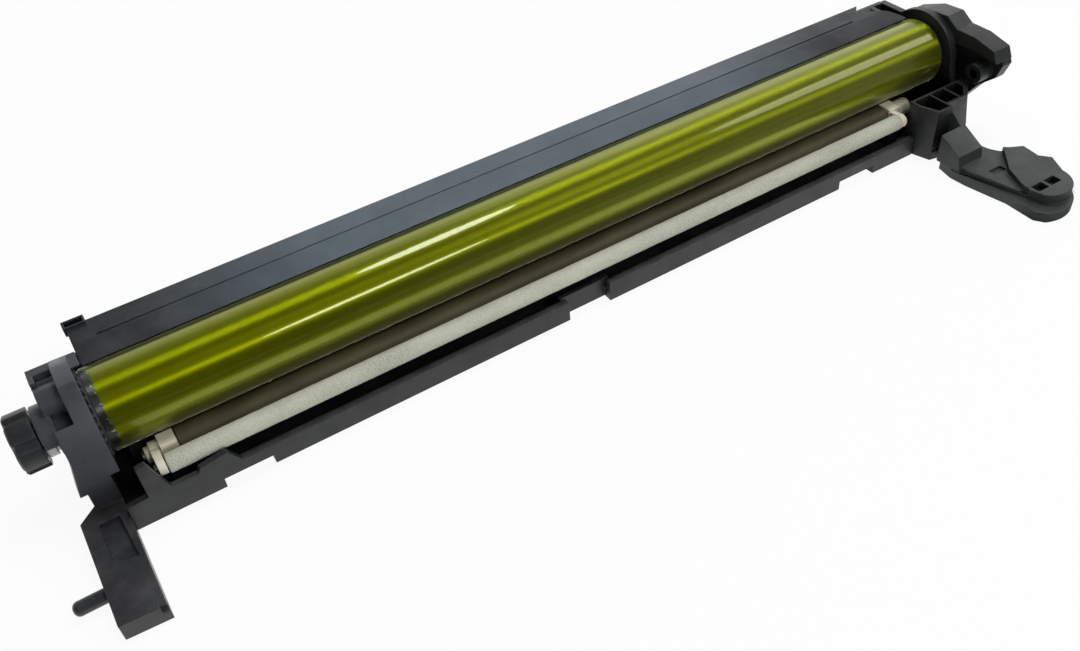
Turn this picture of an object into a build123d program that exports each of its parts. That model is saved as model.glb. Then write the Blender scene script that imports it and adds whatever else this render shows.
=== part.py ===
from build123d import *

import os
from math import atan2, cos, pi, radians, sin, sqrt, tan

# Drum unit of a wide-format office printer, in millimetres.
# X runs along the drum from the drive end to the handle end, Y to the rear, Z up.
# The origin is on the drum's axis, at the mouth of the drive coupling's socket.

# Drum
drum_diameter = 30.0
drum_wall = 0.9
drum_length = 380.3
drum_r = drum_diameter / 2
tube_inner_r = drum_r - drum_wall

# Clearances
running_gap = 0.05      # radial, shaft in its bearing
fit_gap = 0.02          # between pieces fixed to each other
nip_gap = 0.3           # between rollers that press together

# Drive end, stations along X from the coupling's face
coupling_length = 11.2
coupling_r = 10.6
socket_r = 4.0
socket_depth = 7.0
neck_length = 3.2
bearing_gap = 0.4
bearing_left = coupling_length - neck_length + bearing_gap
bearing_width = 9.6
bearing_right = bearing_left + bearing_width
bearing_r = 7.0
bearing_flange_r = 8.2
bearing_flange = 3.0
hub_r = 5.0
left_wall_x = 20.0
left_wall = 2.5
drum_inset = 4.7
hood_depth = 3.3
hood_wall = 2.2
frame_left = left_wall_x + left_wall
drum_left = frame_left + drum_inset
drum_right = drum_left + drum_length

# Handle end
right_wall = 3.5
right_wall_x = drum_right + 1.5
frame_right = right_wall_x
limb_x = right_wall_x + right_wall
limb_width = 10.0
bay_left = limb_x - 32.4
pivot_r = 3.0

# Frame section
bottom_z = -29.4
wall = 2.2
floor_z = bottom_z + wall
front_y = -30.0
rear_y = 26.5
lip_z = -20.5
lip_wall = 3.0
toe_depth = 6.0
toe_height = 4.9
toe_back_y = front_y + toe_depth
notch_size = 4.0

# Cover
cover_rise = 1.9         # the cover's top above the drum's
cover_top_z = drum_r + cover_rise
cover_thickness = 2.5
cover_seat_z = cover_top_z - cover_thickness
cover_front_y = 3.75
cover_rear_y = 26.25
cover_gap = 0.9
cover_left = frame_left + 6.5
corner_z = 5.6          # the frame's rear wall is this low to the left of the cover

# Charge roller and foam cleaning roller
charge_r = 5.3
charge_angle = 227.0
charge_distance = drum_r + nip_gap + charge_r
charge_y = charge_distance * cos(radians(charge_angle))
charge_z = charge_distance * sin(radians(charge_angle))
charge_left = 45.9
charge_end_inset = 33.5
charge_right = drum_right - charge_end_inset
charge_shaft_r = 3.0
charge_journal_r = 2.0
foam_r = 3.6
foam_angle = 171.8
foam_distance = charge_r + nip_gap + foam_r
foam_y = charge_y + foam_distance * cos(radians(foam_angle))
foam_z = charge_z + foam_distance * sin(radians(foam_angle))
foam_left = 39.6
foam_right = charge_right + 0.6
foam_shaft_r = 2.0
foam_journal_r = 1.5
roller_travel = 0.8

# Roller holders
link_charge_r = 4.0
link_foam_r = 3.0
wing_foam_r = 1.6 + foam_journal_r
guide_clearance = 0.3

# Waste auger and its gears
gear_module = 1.0
drum_teeth = 30
auger_teeth = 12
gear_width = 3.4
auger_distance = gear_module * (drum_teeth + auger_teeth) / 2
auger_angle = -36.0
auger_y = auger_distance * cos(radians(auger_angle))
auger_z = auger_distance * sin(radians(auger_angle))
auger_r = 4.2
auger_core_r = 2.0
auger_journal_r = 1.6
vane_pitch = 16.0
vane_thickness = 1.2

# Bulkheads that close the waste chamber
bulkhead = 2.5
bulkhead_inset = 3.3
bulkhead_left = drum_left + bulkhead_inset
bulkhead_right = drum_right - bulkhead_inset - 3.7
seal_thickness = 0.9
seal_gap = 0.3
seal_r = drum_r + seal_gap + seal_thickness
divider_y = -3.0
divider_top_z = -(drum_r + 2.6)

# Screws
screw_r = 1.5
screw_head_r = 2.8
screw_head = 1.8
screw_length = 8.0
boss_r = 3.3
cap_screw_places = [(20.9, -23.4), (20.9, 2.0)]

# Arms
arm_top_z = -21.9
pin_r = 2.5
pin_y = -52.5
pin_z = (arm_top_z + bottom_z) / 2
pin_length = 10.6


def gear_outline(teeth, bore_r, turn):
    """Draws a gear with straight-flanked teeth; turn is the angle of one tooth, in degrees."""
    pitch_r = gear_module * teeth / 2
    tip_r = pitch_r + 0.9 * gear_module
    root_r = pitch_r - 1.25 * gear_module
    step = 360 / teeth
    points = []
    for tooth in range(teeth):
        middle = turn + tooth * step
        for share, radius in ((-0.36, root_r), (-0.21, pitch_r), (-0.1, tip_r),
                              (0.1, tip_r), (0.21, pitch_r), (0.36, root_r)):
            angle = radians(middle + share * step)
            points.append((radius * cos(angle), radius * sin(angle)))
    with BuildSketch() as outline:
        with BuildLine():
            Polyline(*points, close=True)
        make_face()
        Circle(bore_r, mode=Mode.SUBTRACT)
    return outline.sketch


def along_x(x, y=0.0, z=0.0):
    """Gives the plane whose normal is +X, with its origin at (x, y, z) and its own axes along Y and Z."""
    return Plane(origin=(x, y, z), x_dir=(0, 1, 0), z_dir=(1, 0, 0))


os.makedirs("parts", exist_ok=True)

# Main frame: trough with a floor, a front lip on a solid toe, and a rear wall
frame_length = frame_right - frame_left
with BuildPart() as main_frame:
    with BuildSketch(along_x(frame_left)):
        with BuildLine():
            Polyline(
                (front_y, bottom_z),
                (rear_y, bottom_z),
                (rear_y, cover_seat_z),
                (rear_y - wall, cover_seat_z),
                (rear_y - wall, floor_z),
                (toe_back_y, floor_z),
                (toe_back_y, bottom_z + toe_height),
                (front_y + lip_wall, bottom_z + toe_height),
                (front_y + lip_wall, lip_z),
                (front_y, lip_z),
                close=True,
            )
        make_face()
    extrude(amount=frame_length)

    # Cheek plate at the left of the lip, cut out round the foam roller's end
    cheek_left = frame_left
    cheek_right = foam_left + 22.4
    with BuildSketch(Plane.XZ.offset(-front_y)):
        with BuildLine():
            Polyline(
                (cheek_left, bottom_z),
                (cheek_left, -18.0),
                (cheek_left + 7.5, -17.5),
                (cheek_left + 7.5, -4.0),
                (cheek_left + 11.0, -3.5),
                (foam_left - 4.1, -10.5),
                (foam_left - 1.6, -17.6),
                (foam_left + 7.4, -17.6),
                (foam_left + 8.6, -15.5),
                (cheek_right - 4.0, -14.0),
                (cheek_right, lip_z),
                (cheek_right, bottom_z),
                close=True,
            )
        make_face()
    extrude(amount=-wall)

    # Bulkheads, with a clear arc for the end seals round the drum
    for x in (bulkhead_left, bulkhead_right):
        with BuildSketch(along_x(x)):
            with BuildLine():
                Polyline(
                    (divider_y, bottom_z),
                    (rear_y, bottom_z),
                    (rear_y, cover_seat_z),
                    (divider_y, cover_seat_z),
                    close=True,
                )
            make_face()
            Circle(seal_r, mode=Mode.SUBTRACT)
            with Locations((auger_y, auger_z)):
                Circle(auger_journal_r + running_gap, mode=Mode.SUBTRACT)
        extrude(amount=bulkhead)

    # Divider between the roller bay and the waste chamber
    with BuildSketch(along_x(bulkhead_left)):
        with Locations((divider_y, floor_z)):
            Rectangle(wall, divider_top_z - floor_z, align=(Align.MIN, Align.MIN))
    extrude(amount=bulkhead_right + bulkhead - bulkhead_left)

    # Ledges that carry the blade bracket, one at each bulkhead
    ledge_z = -22.0
    ledge_length = 9.0
    ledge_front_y = 11.0
    for x in (bulkhead_left + bulkhead, bulkhead_right - ledge_length):
        with BuildSketch(along_x(x)):
            with Locations((ledge_front_y, floor_z)):
                Rectangle(rear_y - wall - ledge_front_y, ledge_z - floor_z, align=(Align.MIN, Align.MIN))
        extrude(amount=ledge_length)

    # Guides in which the roller holders slide
    guide_wall = 1.5
    guide_length = 6.0
    guide_top_z = charge_z - wing_foam_r - roller_travel - guide_clearance
    guide_half = 4.6
    for x in (charge_left - 0.4 - guide_length, charge_right + 0.4):
        with BuildSketch(along_x(x, y=charge_y)):
            for side in (-1, 1):
                with Locations((side * (guide_half + guide_wall / 2), floor_z)):
                    Rectangle(guide_wall, guide_top_z - floor_z, align=(Align.CENTER, Align.MIN))
        extrude(amount=guide_length)

    # Bosses for the end cap screws
    for start, end in ((frame_left, bulkhead_left), (bulkhead_right + bulkhead, frame_right)):
        with BuildSketch(along_x(start)):
            for y, z in cap_screw_places:
                with Locations((y, z)):
                    Circle(boss_r)
                with Locations((y, z)):
                    Rectangle(rear_y - wall - y + 1, boss_r, align=(Align.MIN, Align.CENTER))
        extrude(amount=end - start)

    # Holes for the cap screws and the blade screws
    for start, way in ((frame_left, 1), (frame_right, -1)):
        with BuildSketch(along_x(start)):
            with Locations(*cap_screw_places):
                Circle(screw_r + fit_gap)
        extrude(amount=way * (screw_length - left_wall + 0.3), mode=Mode.SUBTRACT)

    blade_screw_x = (bulkhead_left + bulkhead + 5.0, bulkhead_right - 5.0)
    blade_screw_y = 18.0
    with BuildSketch(Plane.XY.offset(ledge_z)):
        with Locations(*[(x, blade_screw_y) for x in blade_screw_x]):
            Circle(screw_r + fit_gap)
    extrude(amount=-4.3, mode=Mode.SUBTRACT)

    # Notches along the front toe, and the set-back step in the middle of the lip
    low_corner = (Align.MIN, Align.MIN, Align.MIN)
    lip_height = lip_z - bottom_z
    for start, end in ((frame_left + 31.5, frame_left + 49.5), (drum_right - 71.5, drum_right - 51.5)):
        with Locations((start, front_y, bottom_z)):
            Box(end - start, notch_size, notch_size, align=low_corner, mode=Mode.SUBTRACT)
    step_left = frame_left + 172.5
    step_width = 19.0
    step_wall = 2.0
    with Locations((step_left, front_y, bottom_z)):
        Box(step_width, notch_size, lip_height, align=low_corner, mode=Mode.SUBTRACT)
    with Locations((step_left - step_wall, front_y + notch_size, bottom_z + toe_height)):
        Box(step_width + 2 * step_wall, step_wall, lip_height - toe_height, align=low_corner)

    # Low corner at the left of the cover, and the front corner that the handle's bay fills
    with Locations((frame_left, divider_y, corner_z)):
        Box(cover_left - frame_left, rear_y - divider_y, cover_top_z, align=low_corner, mode=Mode.SUBTRACT)
    with Locations((bay_left - fit_gap, front_y, bottom_z)):
        Box(frame_right - bay_left + 1, toe_depth, lip_height, align=low_corner, mode=Mode.SUBTRACT)

    # Panels sunk between the ribs of the rear wall
    panels = 9
    panel_depth = 0.8
    panel_rib = 4.0
    panel_pitch = (bulkhead_right - bulkhead_left) / panels
    with BuildSketch(Plane.XZ.offset(-rear_y)):
        for number in range(panels):
            with Locations((bulkhead_left + bulkhead / 2 + (number + 0.5) * panel_pitch, -8.0)):
                RectangleRounded(panel_pitch - panel_rib, 30.0, 2.0)
    extrude(amount=panel_depth, mode=Mode.SUBTRACT)

main_frame.part.label = "main_frame"
export_step(main_frame.part, "parts/main_frame.step")

# Rear cover: a flat plate that slopes down to a thin front edge, hollowed beneath it to clear the drum
cover_right = drum_right - 2.0
cover_tab = 7.7
slope_front_y = 6.0
slope_drop = 1.9
slope_front_z = cover_top_z - slope_drop
slope_back_y = 15.0
with BuildPart() as rear_cover:
    with BuildSketch(Plane.XY.offset(cover_seat_z)):
        with BuildLine():
            Polyline(
                (cover_left, cover_front_y),
                (cover_left, cover_rear_y),
                (cover_right - 11.7, cover_rear_y),
                (cover_right - 17.5, cover_rear_y - 5.8),
            )
            ThreePointArc(
                (cover_right - 17.5, cover_rear_y - 5.8),
                (cover_right - 7.5, cover_rear_y - 9.5),
                (cover_right, cover_front_y),
            )
            Line((cover_right, cover_front_y), (cover_left, cover_front_y))
        make_face()
    extrude(amount=cover_thickness)
    # Upstand at the left rear corner
    with BuildSketch(Plane.XY.offset(cover_seat_z)):
        with Locations((cover_left - 0.8, cover_rear_y - 2.0)):
            Rectangle(cover_tab, 4.2, align=(Align.MIN, Align.MIN))
    extrude(amount=cover_thickness + 1.0)
    with BuildSketch(Plane.XY.offset(cover_top_z + 1.0)):
        with Locations((cover_left - 0.8 + cover_tab / 2, cover_rear_y + 0.1)):
            Rectangle(cover_tab - 1.6, 2.6)
    extrude(amount=-2.6, mode=Mode.SUBTRACT)
    # Rib that sits inside the frame's rear wall
    with BuildSketch(Plane.XY.offset(cover_seat_z)):
        with Locations((bulkhead_left + bulkhead + 0.3, rear_y - wall - fit_gap)):
            Rectangle(
                bulkhead_right - bulkhead_left - bulkhead - 0.6, 1.8, align=(Align.MIN, Align.MAX)
            )
    extrude(amount=-2.6)
    # Shallow panel line along the top
    with BuildSketch(Plane.XY.offset(cover_top_z)):
        with Locations((cover_left + 8.0, slope_back_y + 0.8)):
            Rectangle(cover_right - cover_left - 32.0, 0.9, align=(Align.MIN, Align.MIN))
    extrude(amount=-0.5, mode=Mode.SUBTRACT)
    with BuildSketch(along_x(cover_left - 5)):
        Circle(drum_r + cover_gap)
        with BuildLine():
            Polyline(
                (slope_back_y, cover_top_z),
                (slope_front_y, slope_front_z),
                (slope_front_y, cover_seat_z - 2.0),
                (0.0, cover_seat_z - 2.0),
                (0.0, cover_top_z + 2.0),
                (slope_back_y, cover_top_z + 2.0),
                close=True,
            )
        make_face()
    extrude(amount=cover_right - cover_left + 10, mode=Mode.SUBTRACT)
rear_cover.part.label = "rear_cover"
export_step(rear_cover.part, "parts/rear_cover.step")

# Left end cap: wall, faceted hood, bearing collar, boss, top bracket, arm and locating pin
nose_left = 13.75
boss_left = nose_left - 1.2
bar_left = 12.4
bar_front_y = 9.4
bar_rear_y = 13.2
bar_top_z = cover_top_z - 0.6
bar_height = 3.0
gear_clear_r = drum_r + cover_gap + 0.7
hood_over_gear = 3.4
hood_r = gear_clear_r + hood_over_gear
hood_corners = [
    (share * hood_r * cos(radians(angle)), share * hood_r * sin(radians(angle)))
    for share, angle in ((1.0, 75), (1.0, 105), (0.94, 143), (1.04, 178))
]
nose_front_y = hood_corners[-1][0]
nose_step_z = -13.8
arm_left = 7.5
arm_right = frame_left
arm_front_y = -70.0
arm_back_y = -18.0
with BuildPart() as left_end_cap:
    # Wall that closes the frame, with the nose's front edge
    with BuildSketch(along_x(left_wall_x)):
        with BuildLine():
            Polyline(
                (nose_front_y, bottom_z),
                (rear_y, bottom_z),
                (rear_y, corner_z - 0.4),
                (rear_y - 6.5, 10.0),
                (bar_rear_y, bar_top_z),
                *hood_corners,
                close=True,
            )
        make_face()
    extrude(amount=left_wall)

    # Hood round the drum's end, open to the rear where the frame takes over
    with BuildSketch(along_x(frame_left)):
        with BuildLine():
            Polyline((bar_rear_y, bar_top_z), *hood_corners, (nose_front_y, -hood_r), (bar_rear_y, -hood_r), close=True)
        make_face()
        Circle(hood_r * cos(pi / 12) - hood_wall, mode=Mode.SUBTRACT)
        with Locations((bar_rear_y, 0.0)):
            Rectangle(30, 60, align=(Align.MIN, Align.CENTER), mode=Mode.SUBTRACT)
        with Locations((0.0, -hood_r / 2)):
            Rectangle(60, 40, align=(Align.CENTER, Align.MAX), mode=Mode.SUBTRACT)
        with Locations((0.0, 0.0)):
            Rectangle(60, hood_r, align=(Align.MIN, Align.MAX), mode=Mode.SUBTRACT)
    extrude(amount=hood_depth)

    # Plate over the gear, from the wall to the cover
    with BuildSketch(along_x(left_wall_x)):
        with Locations((bar_rear_y, bar_top_z)):
            Rectangle(bar_rear_y - 5.6, bar_height, align=(Align.MAX, Align.MAX))
        Circle(gear_clear_r, mode=Mode.SUBTRACT)
    extrude(amount=cover_left - 0.3 - left_wall_x)

    # Nose in front of the coupling, following the hood's facets, with a wider foot that ends in a step
    with BuildSketch(along_x(nose_left)):
        with BuildLine():
            Polyline(
                hood_corners[2],
                hood_corners[3],
                (nose_front_y, arm_top_z),
                (-9.0, arm_top_z),
                (-8.0, 0.0),
                (-11.0, 8.0),
                close=True,
            )
        make_face()
        Circle(coupling_r + 1.2, mode=Mode.SUBTRACT)
    extrude(amount=left_wall_x - nose_left)
    with BuildSketch(Plane.XZ.offset(-nose_front_y)):
        with BuildLine():
            Polyline(
                (nose_left, hood_corners[3][1]),
                (nose_left - 2.4, nose_step_z),
                (nose_left, nose_step_z),
                close=True,
            )
        make_face()
    extrude(amount=-6.0)

    # Bearing collar: a thin ring on a narrower neck, with a shroud over the bearing's flange
    collar_left = bearing_left + bearing_flange + 1.2
    with BuildSketch(along_x(bearing_left + 0.4)):
        Circle(bearing_flange_r + 1.8)
        Circle(bearing_flange_r + 0.3, mode=Mode.SUBTRACT)
        with Locations((0.0, 1.0)):
            Rectangle(40, 40, align=(Align.CENTER, Align.MAX), mode=Mode.SUBTRACT)
    extrude(amount=collar_left + 1.6 - bearing_left - 0.4)
    with BuildSketch(along_x(collar_left)):
        Circle(bearing_r + 2.6)
    extrude(amount=1.6)
    with BuildSketch(along_x(collar_left)):
        Circle(bearing_r + 1.2)
    extrude(amount=left_wall_x - collar_left)

    # Round boss in front of the bracket
    with BuildSketch(along_x(boss_left)):
        with Locations((2.0, 9.7)):
            Circle(5.8)
    extrude(amount=left_wall_x - boss_left)

    # Top bracket, a bar with a turned-down end
    with BuildSketch(along_x(bar_left)):
        with Locations((bar_rear_y, bar_top_z)):
            Rectangle(bar_rear_y - bar_front_y, bar_height, align=(Align.MAX, Align.MAX))
    extrude(amount=left_wall_x - bar_left)
    with BuildSketch(along_x(bar_left)):
        with Locations((bar_rear_y, bar_top_z)):
            Rectangle(7.6, 9.0, align=(Align.MAX, Align.MAX))
    extrude(amount=1.8)
    with BuildSketch(along_x(bar_left)):
        with Locations((bar_rear_y, bar_top_z - 5.0)):
            Rectangle(10.0, 6.0, align=(Align.MAX, Align.MAX))
    extrude(amount=left_wall_x - bar_left)

    # Arm, with a channel along its upper half
    with BuildSketch(Plane.XY.offset(bottom_z)):
        with BuildLine():
            Polyline(
                (arm_right, -20.0),
                (arm_right, arm_front_y),
                (arm_left, arm_front_y + 1.0),
                (arm_left, arm_back_y - 5.5),
                (nose_left, arm_back_y),
                (arm_right, arm_back_y),
                close=True,
            )
        make_face()
    extrude(amount=arm_top_z - bottom_z)
    channel_depth = 2.2
    with BuildSketch(Plane.XY.offset(arm_top_z)):
        with BuildLine():
            Polyline(
                (arm_left + 5.2, -27.0),
                (arm_right - 3.0, -27.0),
                (arm_right - 1.8, -47.0),
                (arm_left + 5.2, -44.0),
                close=True,
            )
        make_face()
    extrude(amount=-channel_depth, mode=Mode.SUBTRACT)
    with Locations((arm_right, arm_front_y, arm_top_z)):
        Box(4.6, 3.6, 2 * 3.4, mode=Mode.SUBTRACT)

    # Locating pin with a rounded end
    with BuildSketch(along_x(arm_left - pin_length, pin_y, pin_z)):
        Circle(pin_r)
    extrude(amount=pin_length + 2)
    fillet(left_end_cap.edges().filter_by(GeomType.CIRCLE).sort_by(Axis.X)[0], pin_r * 0.8)

    # Bore for the bearing, through to the hub
    with BuildSketch(along_x(boss_left)):
        Circle(bearing_r + fit_gap)
    extrude(amount=bearing_right - boss_left, mode=Mode.SUBTRACT)
    with BuildSketch(along_x(collar_left)):
        Circle(hub_r + 0.5)
    extrude(amount=frame_left - collar_left + 1, mode=Mode.SUBTRACT)

    # Cap screw holes
    with BuildSketch(along_x(left_wall_x)):
        with Locations(*cap_screw_places):
            Circle(screw_r + fit_gap)
    extrude(amount=left_wall, mode=Mode.SUBTRACT)
left_end_cap.part.label = "left_end_cap"
export_step(left_end_cap.part, "parts/left_end_cap.step")

# Handle arm's levels and the slope of its neck
handle_top_z = -20.6
deck_z = -22.8
handle_step_z = -25.0
ramp_back_y = -44.0
ramp_top_z = -12.0
ramp_front_z = -18.0
ramp_length = 11.0
ramp_left = limb_x - 33.1
ramp_width = 14.4
neck_left = limb_x - 21.5
bay_top_z = -5.0
bay_wall = 1.1
bay_depth = 18.0
neck_front_y = ramp_back_y + (bay_top_z - ramp_top_z) / 0.8
bay_back_y = toe_back_y - fit_gap


def handle_outline(end_middle, left_side):
    """Draws the handle arm from above: its right side, round end and left side, back to the end wall."""
    with BuildSketch() as outline:
        with BuildLine():
            Polyline(
                (limb_x, -21.0),
                (limb_x + limb_width, -21.0),
                (limb_x - 3.0, front_y),
                (limb_x - 7.7, -40.0),
            )
            ThreePointArc((limb_x - 7.7, -40.0), (limb_x - 11.8, -51.5), (limb_x - 5.0, -61.0))
            Polyline(
                (limb_x - 5.0, -61.0),
                (limb_x - 1.3, -63.0),
                (limb_x - 2.4, -71.5),
                (limb_x + 1.0, -76.0),
                (limb_x - 3.7, -85.0),
            )
            ThreePointArc((limb_x - 3.7, -85.0), end_middle, left_side[0])
            Polyline(*left_side, (limb_x, bay_back_y), (limb_x, -21.0))
        make_face()
    return outline.sketch


flange_outline = handle_outline(
    (limb_x - 13.0, -98.5),
    [
        (limb_x - 28.0, -98.0),
        (limb_x - 30.6, -94.0),
        (limb_x - 30.0, -80.0),
        (limb_x - 33.0, -61.0),
        (limb_x - 33.4, -53.0),
        (limb_x - 31.5, -45.0),
        (limb_x - 22.5, -42.0),
        (limb_x - 21.5, -40.0),
        (limb_x - 29.9, -38.1),
        (bay_left, -29.0),
        (bay_left, bay_back_y),
    ],
)
deck_outline = handle_outline(
    (limb_x - 13.0, -96.0),
    [
        (limb_x - 24.0, -92.0),
        (limb_x - 27.0, -80.0),
        (limb_x - 31.0, -61.0),
        (limb_x - 31.5, -55.0),
        (limb_x - 21.5, -40.0),
        (limb_x - 21.5, bay_back_y),
    ],
)

# Neck of the handle, which slopes from the arm up to the side boss
with BuildPart() as neck:
    with BuildSketch(Plane.XY.offset(bottom_z)):
        with BuildLine():
            Polyline(
                (neck_left, bay_back_y),
                (neck_left, ramp_back_y),
                (limb_x - 18.0, ramp_back_y),
                (limb_x - 10.5, -36.7),
                (limb_x - 3.0, front_y),
                (limb_x, front_y + 3.0),
                (limb_x, bay_back_y),
                close=True,
            )
        make_face()
    extrude(amount=bay_top_z - bottom_z)
    with BuildSketch(along_x(neck_left)):
        with BuildLine():
            Polyline(
                (ramp_back_y, bottom_z),
                (ramp_back_y, ramp_top_z),
                (neck_front_y, bay_top_z),
                (bay_back_y, bay_top_z),
                (bay_back_y, bottom_z),
                close=True,
            )
        make_face()
    extrude(amount=limb_x - neck_left, mode=Mode.INTERSECT)

# Right end cap: wall, hook limb, side boss, hollow bay, neck and the curved handle arm
with BuildPart() as right_end_cap:
    # Wall with a round top that follows the drum
    wall_r = 19.1
    with BuildSketch(along_x(right_wall_x)):
        with BuildLine():
            Polyline(
                (-wall_r, 0.0),
                (-22.0, -12.0),
                (bay_back_y, -16.0),
                (bay_back_y, bottom_z),
                (rear_y, bottom_z),
                (rear_y, 14.0),
                (sqrt(wall_r**2 - 14.0**2), 14.0),
            )
            ThreePointArc(
                (sqrt(wall_r**2 - 14.0**2), 14.0),
                (wall_r * cos(radians(120)), wall_r * sin(radians(120))),
                (-wall_r, 0.0),
            )
        make_face()
    extrude(amount=right_wall)

    # Hook limb: a broad band along the top on a thinner web
    with BuildSketch(along_x(limb_x)):
        with BuildLine():
            Polyline(
                (12.0, 14.0),
                (0.0, 18.8),
                (-10.0, 19.5),
                (-16.0, 15.6),
                (-26.0, 15.5),
                (-37.0, 13.0),
                (-39.5, 8.0),
                (-26.0, 9.5),
                (-16.0, 9.0),
                (-8.0, 12.5),
                (0.0, 12.0),
                (10.0, 8.0),
                close=True,
            )
        make_face()
    extrude(amount=limb_width)
    with BuildSketch(along_x(limb_x + 4.5)):
        with BuildLine():
            Polyline(
                (12.0, 14.0),
                (0.0, 18.8),
                (-10.0, 19.5),
                (-16.0, 15.6),
                (-26.0, 15.5),
                (-37.0, 13.0),
                (-40.0, 6.0),
                (-37.5, -1.0),
                (-30.0, -7.5),
                (-21.5, -19.0),
                (-21.5, bottom_z),
                (12.0, bottom_z),
                close=True,
            )
        make_face()
    extrude(amount=limb_width - 4.5)

    # Block between the wall and the web
    with BuildSketch(along_x(limb_x)):
        with Locations((-21.5, bottom_z)):
            Rectangle(12.0, 15.0, align=(Align.MIN, Align.MIN))
    extrude(amount=limb_width)

    # Side boss with its collar and the hole in its inner end
    with BuildSketch(along_x(limb_x - 3.0)):
        with Locations((-31.0, 1.0)):
            Circle(4.5)
    extrude(amount=10.0)
    with BuildSketch(along_x(limb_x + limb_width)):
        with Locations((-31.0, 1.0)):
            Circle(5.6)
    extrude(amount=2.4)

    # Hub that takes the pivot pin
    with BuildSketch(along_x(limb_x)):
        Circle(pivot_r + 3.0)
    extrude(amount=4.5)

    # Handle arm: a low flange, the deck on it, and the raised plate with its end block
    extrude(flange_outline.moved(Location((0, 0, bottom_z))), amount=handle_step_z - bottom_z)
    extrude(deck_outline.moved(Location((0, 0, handle_step_z))), amount=deck_z - handle_step_z)
    with BuildSketch(Plane.XY.offset(deck_z)):
        add(deck_outline)
        with BuildLine():
            Polyline(
                (limb_x - 8.0, -57.5),
                (limb_x - 20.0, -71.0),
                (limb_x - 24.4, -81.0),
                (limb_x - 30.0, -99.0),
                (limb_x + 9.0, -99.0),
                (limb_x + 9.0, -57.5),
                close=True,
            )
        make_face(mode=Mode.INTERSECT)
    extrude(amount=handle_top_z - deck_z)

    # Sloping block at the start of the arm
    with BuildSketch(along_x(ramp_left)):
        with BuildLine():
            Polyline(
                (ramp_back_y, handle_step_z),
                (ramp_back_y, ramp_top_z),
                (ramp_back_y - ramp_length, ramp_front_z),
                (ramp_back_y - ramp_length - 1.5, handle_step_z),
                close=True,
            )
        make_face()
    extrude(amount=ramp_width)
    add(neck.part)

    # Bay in front of the rollers' ends, hollowed into three cells that are open at the top
    with BuildSketch(Plane.XY.offset(bottom_z)):
        with BuildLine():
            Polyline(
                (bay_left, bay_back_y),
                (bay_left, -29.0),
                (limb_x - 29.9, -38.1),
                (neck_left, -38.5),
                (neck_left, bay_back_y),
                close=True,
            )
        make_face()
    extrude(amount=bay_top_z - bottom_z)
    cell_back_y = bay_back_y - bay_wall
    cell_front_y = neck_front_y + bay_wall
    with BuildSketch(Plane.XY.offset(bay_top_z)):
        with BuildLine():
            Polyline(
                (bay_left + bay_wall + 0.2, cell_back_y),
                (bay_left + bay_wall + 0.2, -29.0),
                (limb_x - 28.3, -36.8),
                (neck_left - bay_wall / 2, -36.8),
                (neck_left - bay_wall / 2, cell_back_y),
                close=True,
            )
        make_face()
        with BuildLine():
            Polyline(
                (neck_left + bay_wall / 2, cell_back_y),
                (neck_left + bay_wall / 2, cell_front_y),
                (limb_x - 13.4, cell_front_y),
                (limb_x - 13.4, cell_back_y),
                close=True,
            )
        make_face()
        with BuildLine():
            Polyline(
                (limb_x - 12.0, cell_back_y),
                (limb_x - 12.0, cell_front_y),
                (limb_x - 10.5, cell_front_y),
                (limb_x - 4.8, -28.8),
                (limb_x - 4.8, cell_back_y),
                close=True,
            )
        make_face()
    extrude(amount=-bay_depth, mode=Mode.SUBTRACT)

    # Pockets in the deck, the plate and the end block
    with BuildSketch(Plane.XY.offset(handle_top_z)):
        with Locations((limb_x - 21.5, -66.8)):
            Rectangle(7.0, 3.4)
        with Locations((limb_x - 20.6, -87.0), (limb_x - 13.0, -87.0)):
            Rectangle(6.0, 4.2)
        with Locations((limb_x - 26.6, -84.0)):
            Circle(1.9)
    extrude(amount=-3.4, mode=Mode.SUBTRACT)

    # Hole in the side boss, and holes for the pivot pin and the cap screws
    with BuildSketch(along_x(limb_x - 3.0)):
        with Locations((-31.0, 1.0)):
            Circle(2.2)
    extrude(amount=6.0, mode=Mode.SUBTRACT)
    with BuildSketch(along_x(right_wall_x)):
        Circle(pivot_r + fit_gap)
    extrude(amount=right_wall + 4.5, mode=Mode.SUBTRACT)
    with BuildSketch(along_x(right_wall_x)):
        with Locations(*cap_screw_places):
            Circle(screw_r + fit_gap)
    extrude(amount=right_wall, mode=Mode.SUBTRACT)
right_end_cap.part.label = "right_end_cap"
export_step(right_end_cap.part, "parts/right_end_cap.step")

# Drum tube
with BuildPart() as drum_tube:
    with BuildSketch(along_x(drum_left)):
        Circle(drum_r)
        Circle(tube_inner_r, mode=Mode.SUBTRACT)
    extrude(amount=drum_length)
drum_tube.part.label = "drum_tube"
export_step(drum_tube.part, "parts/drum_tube.step")

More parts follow.
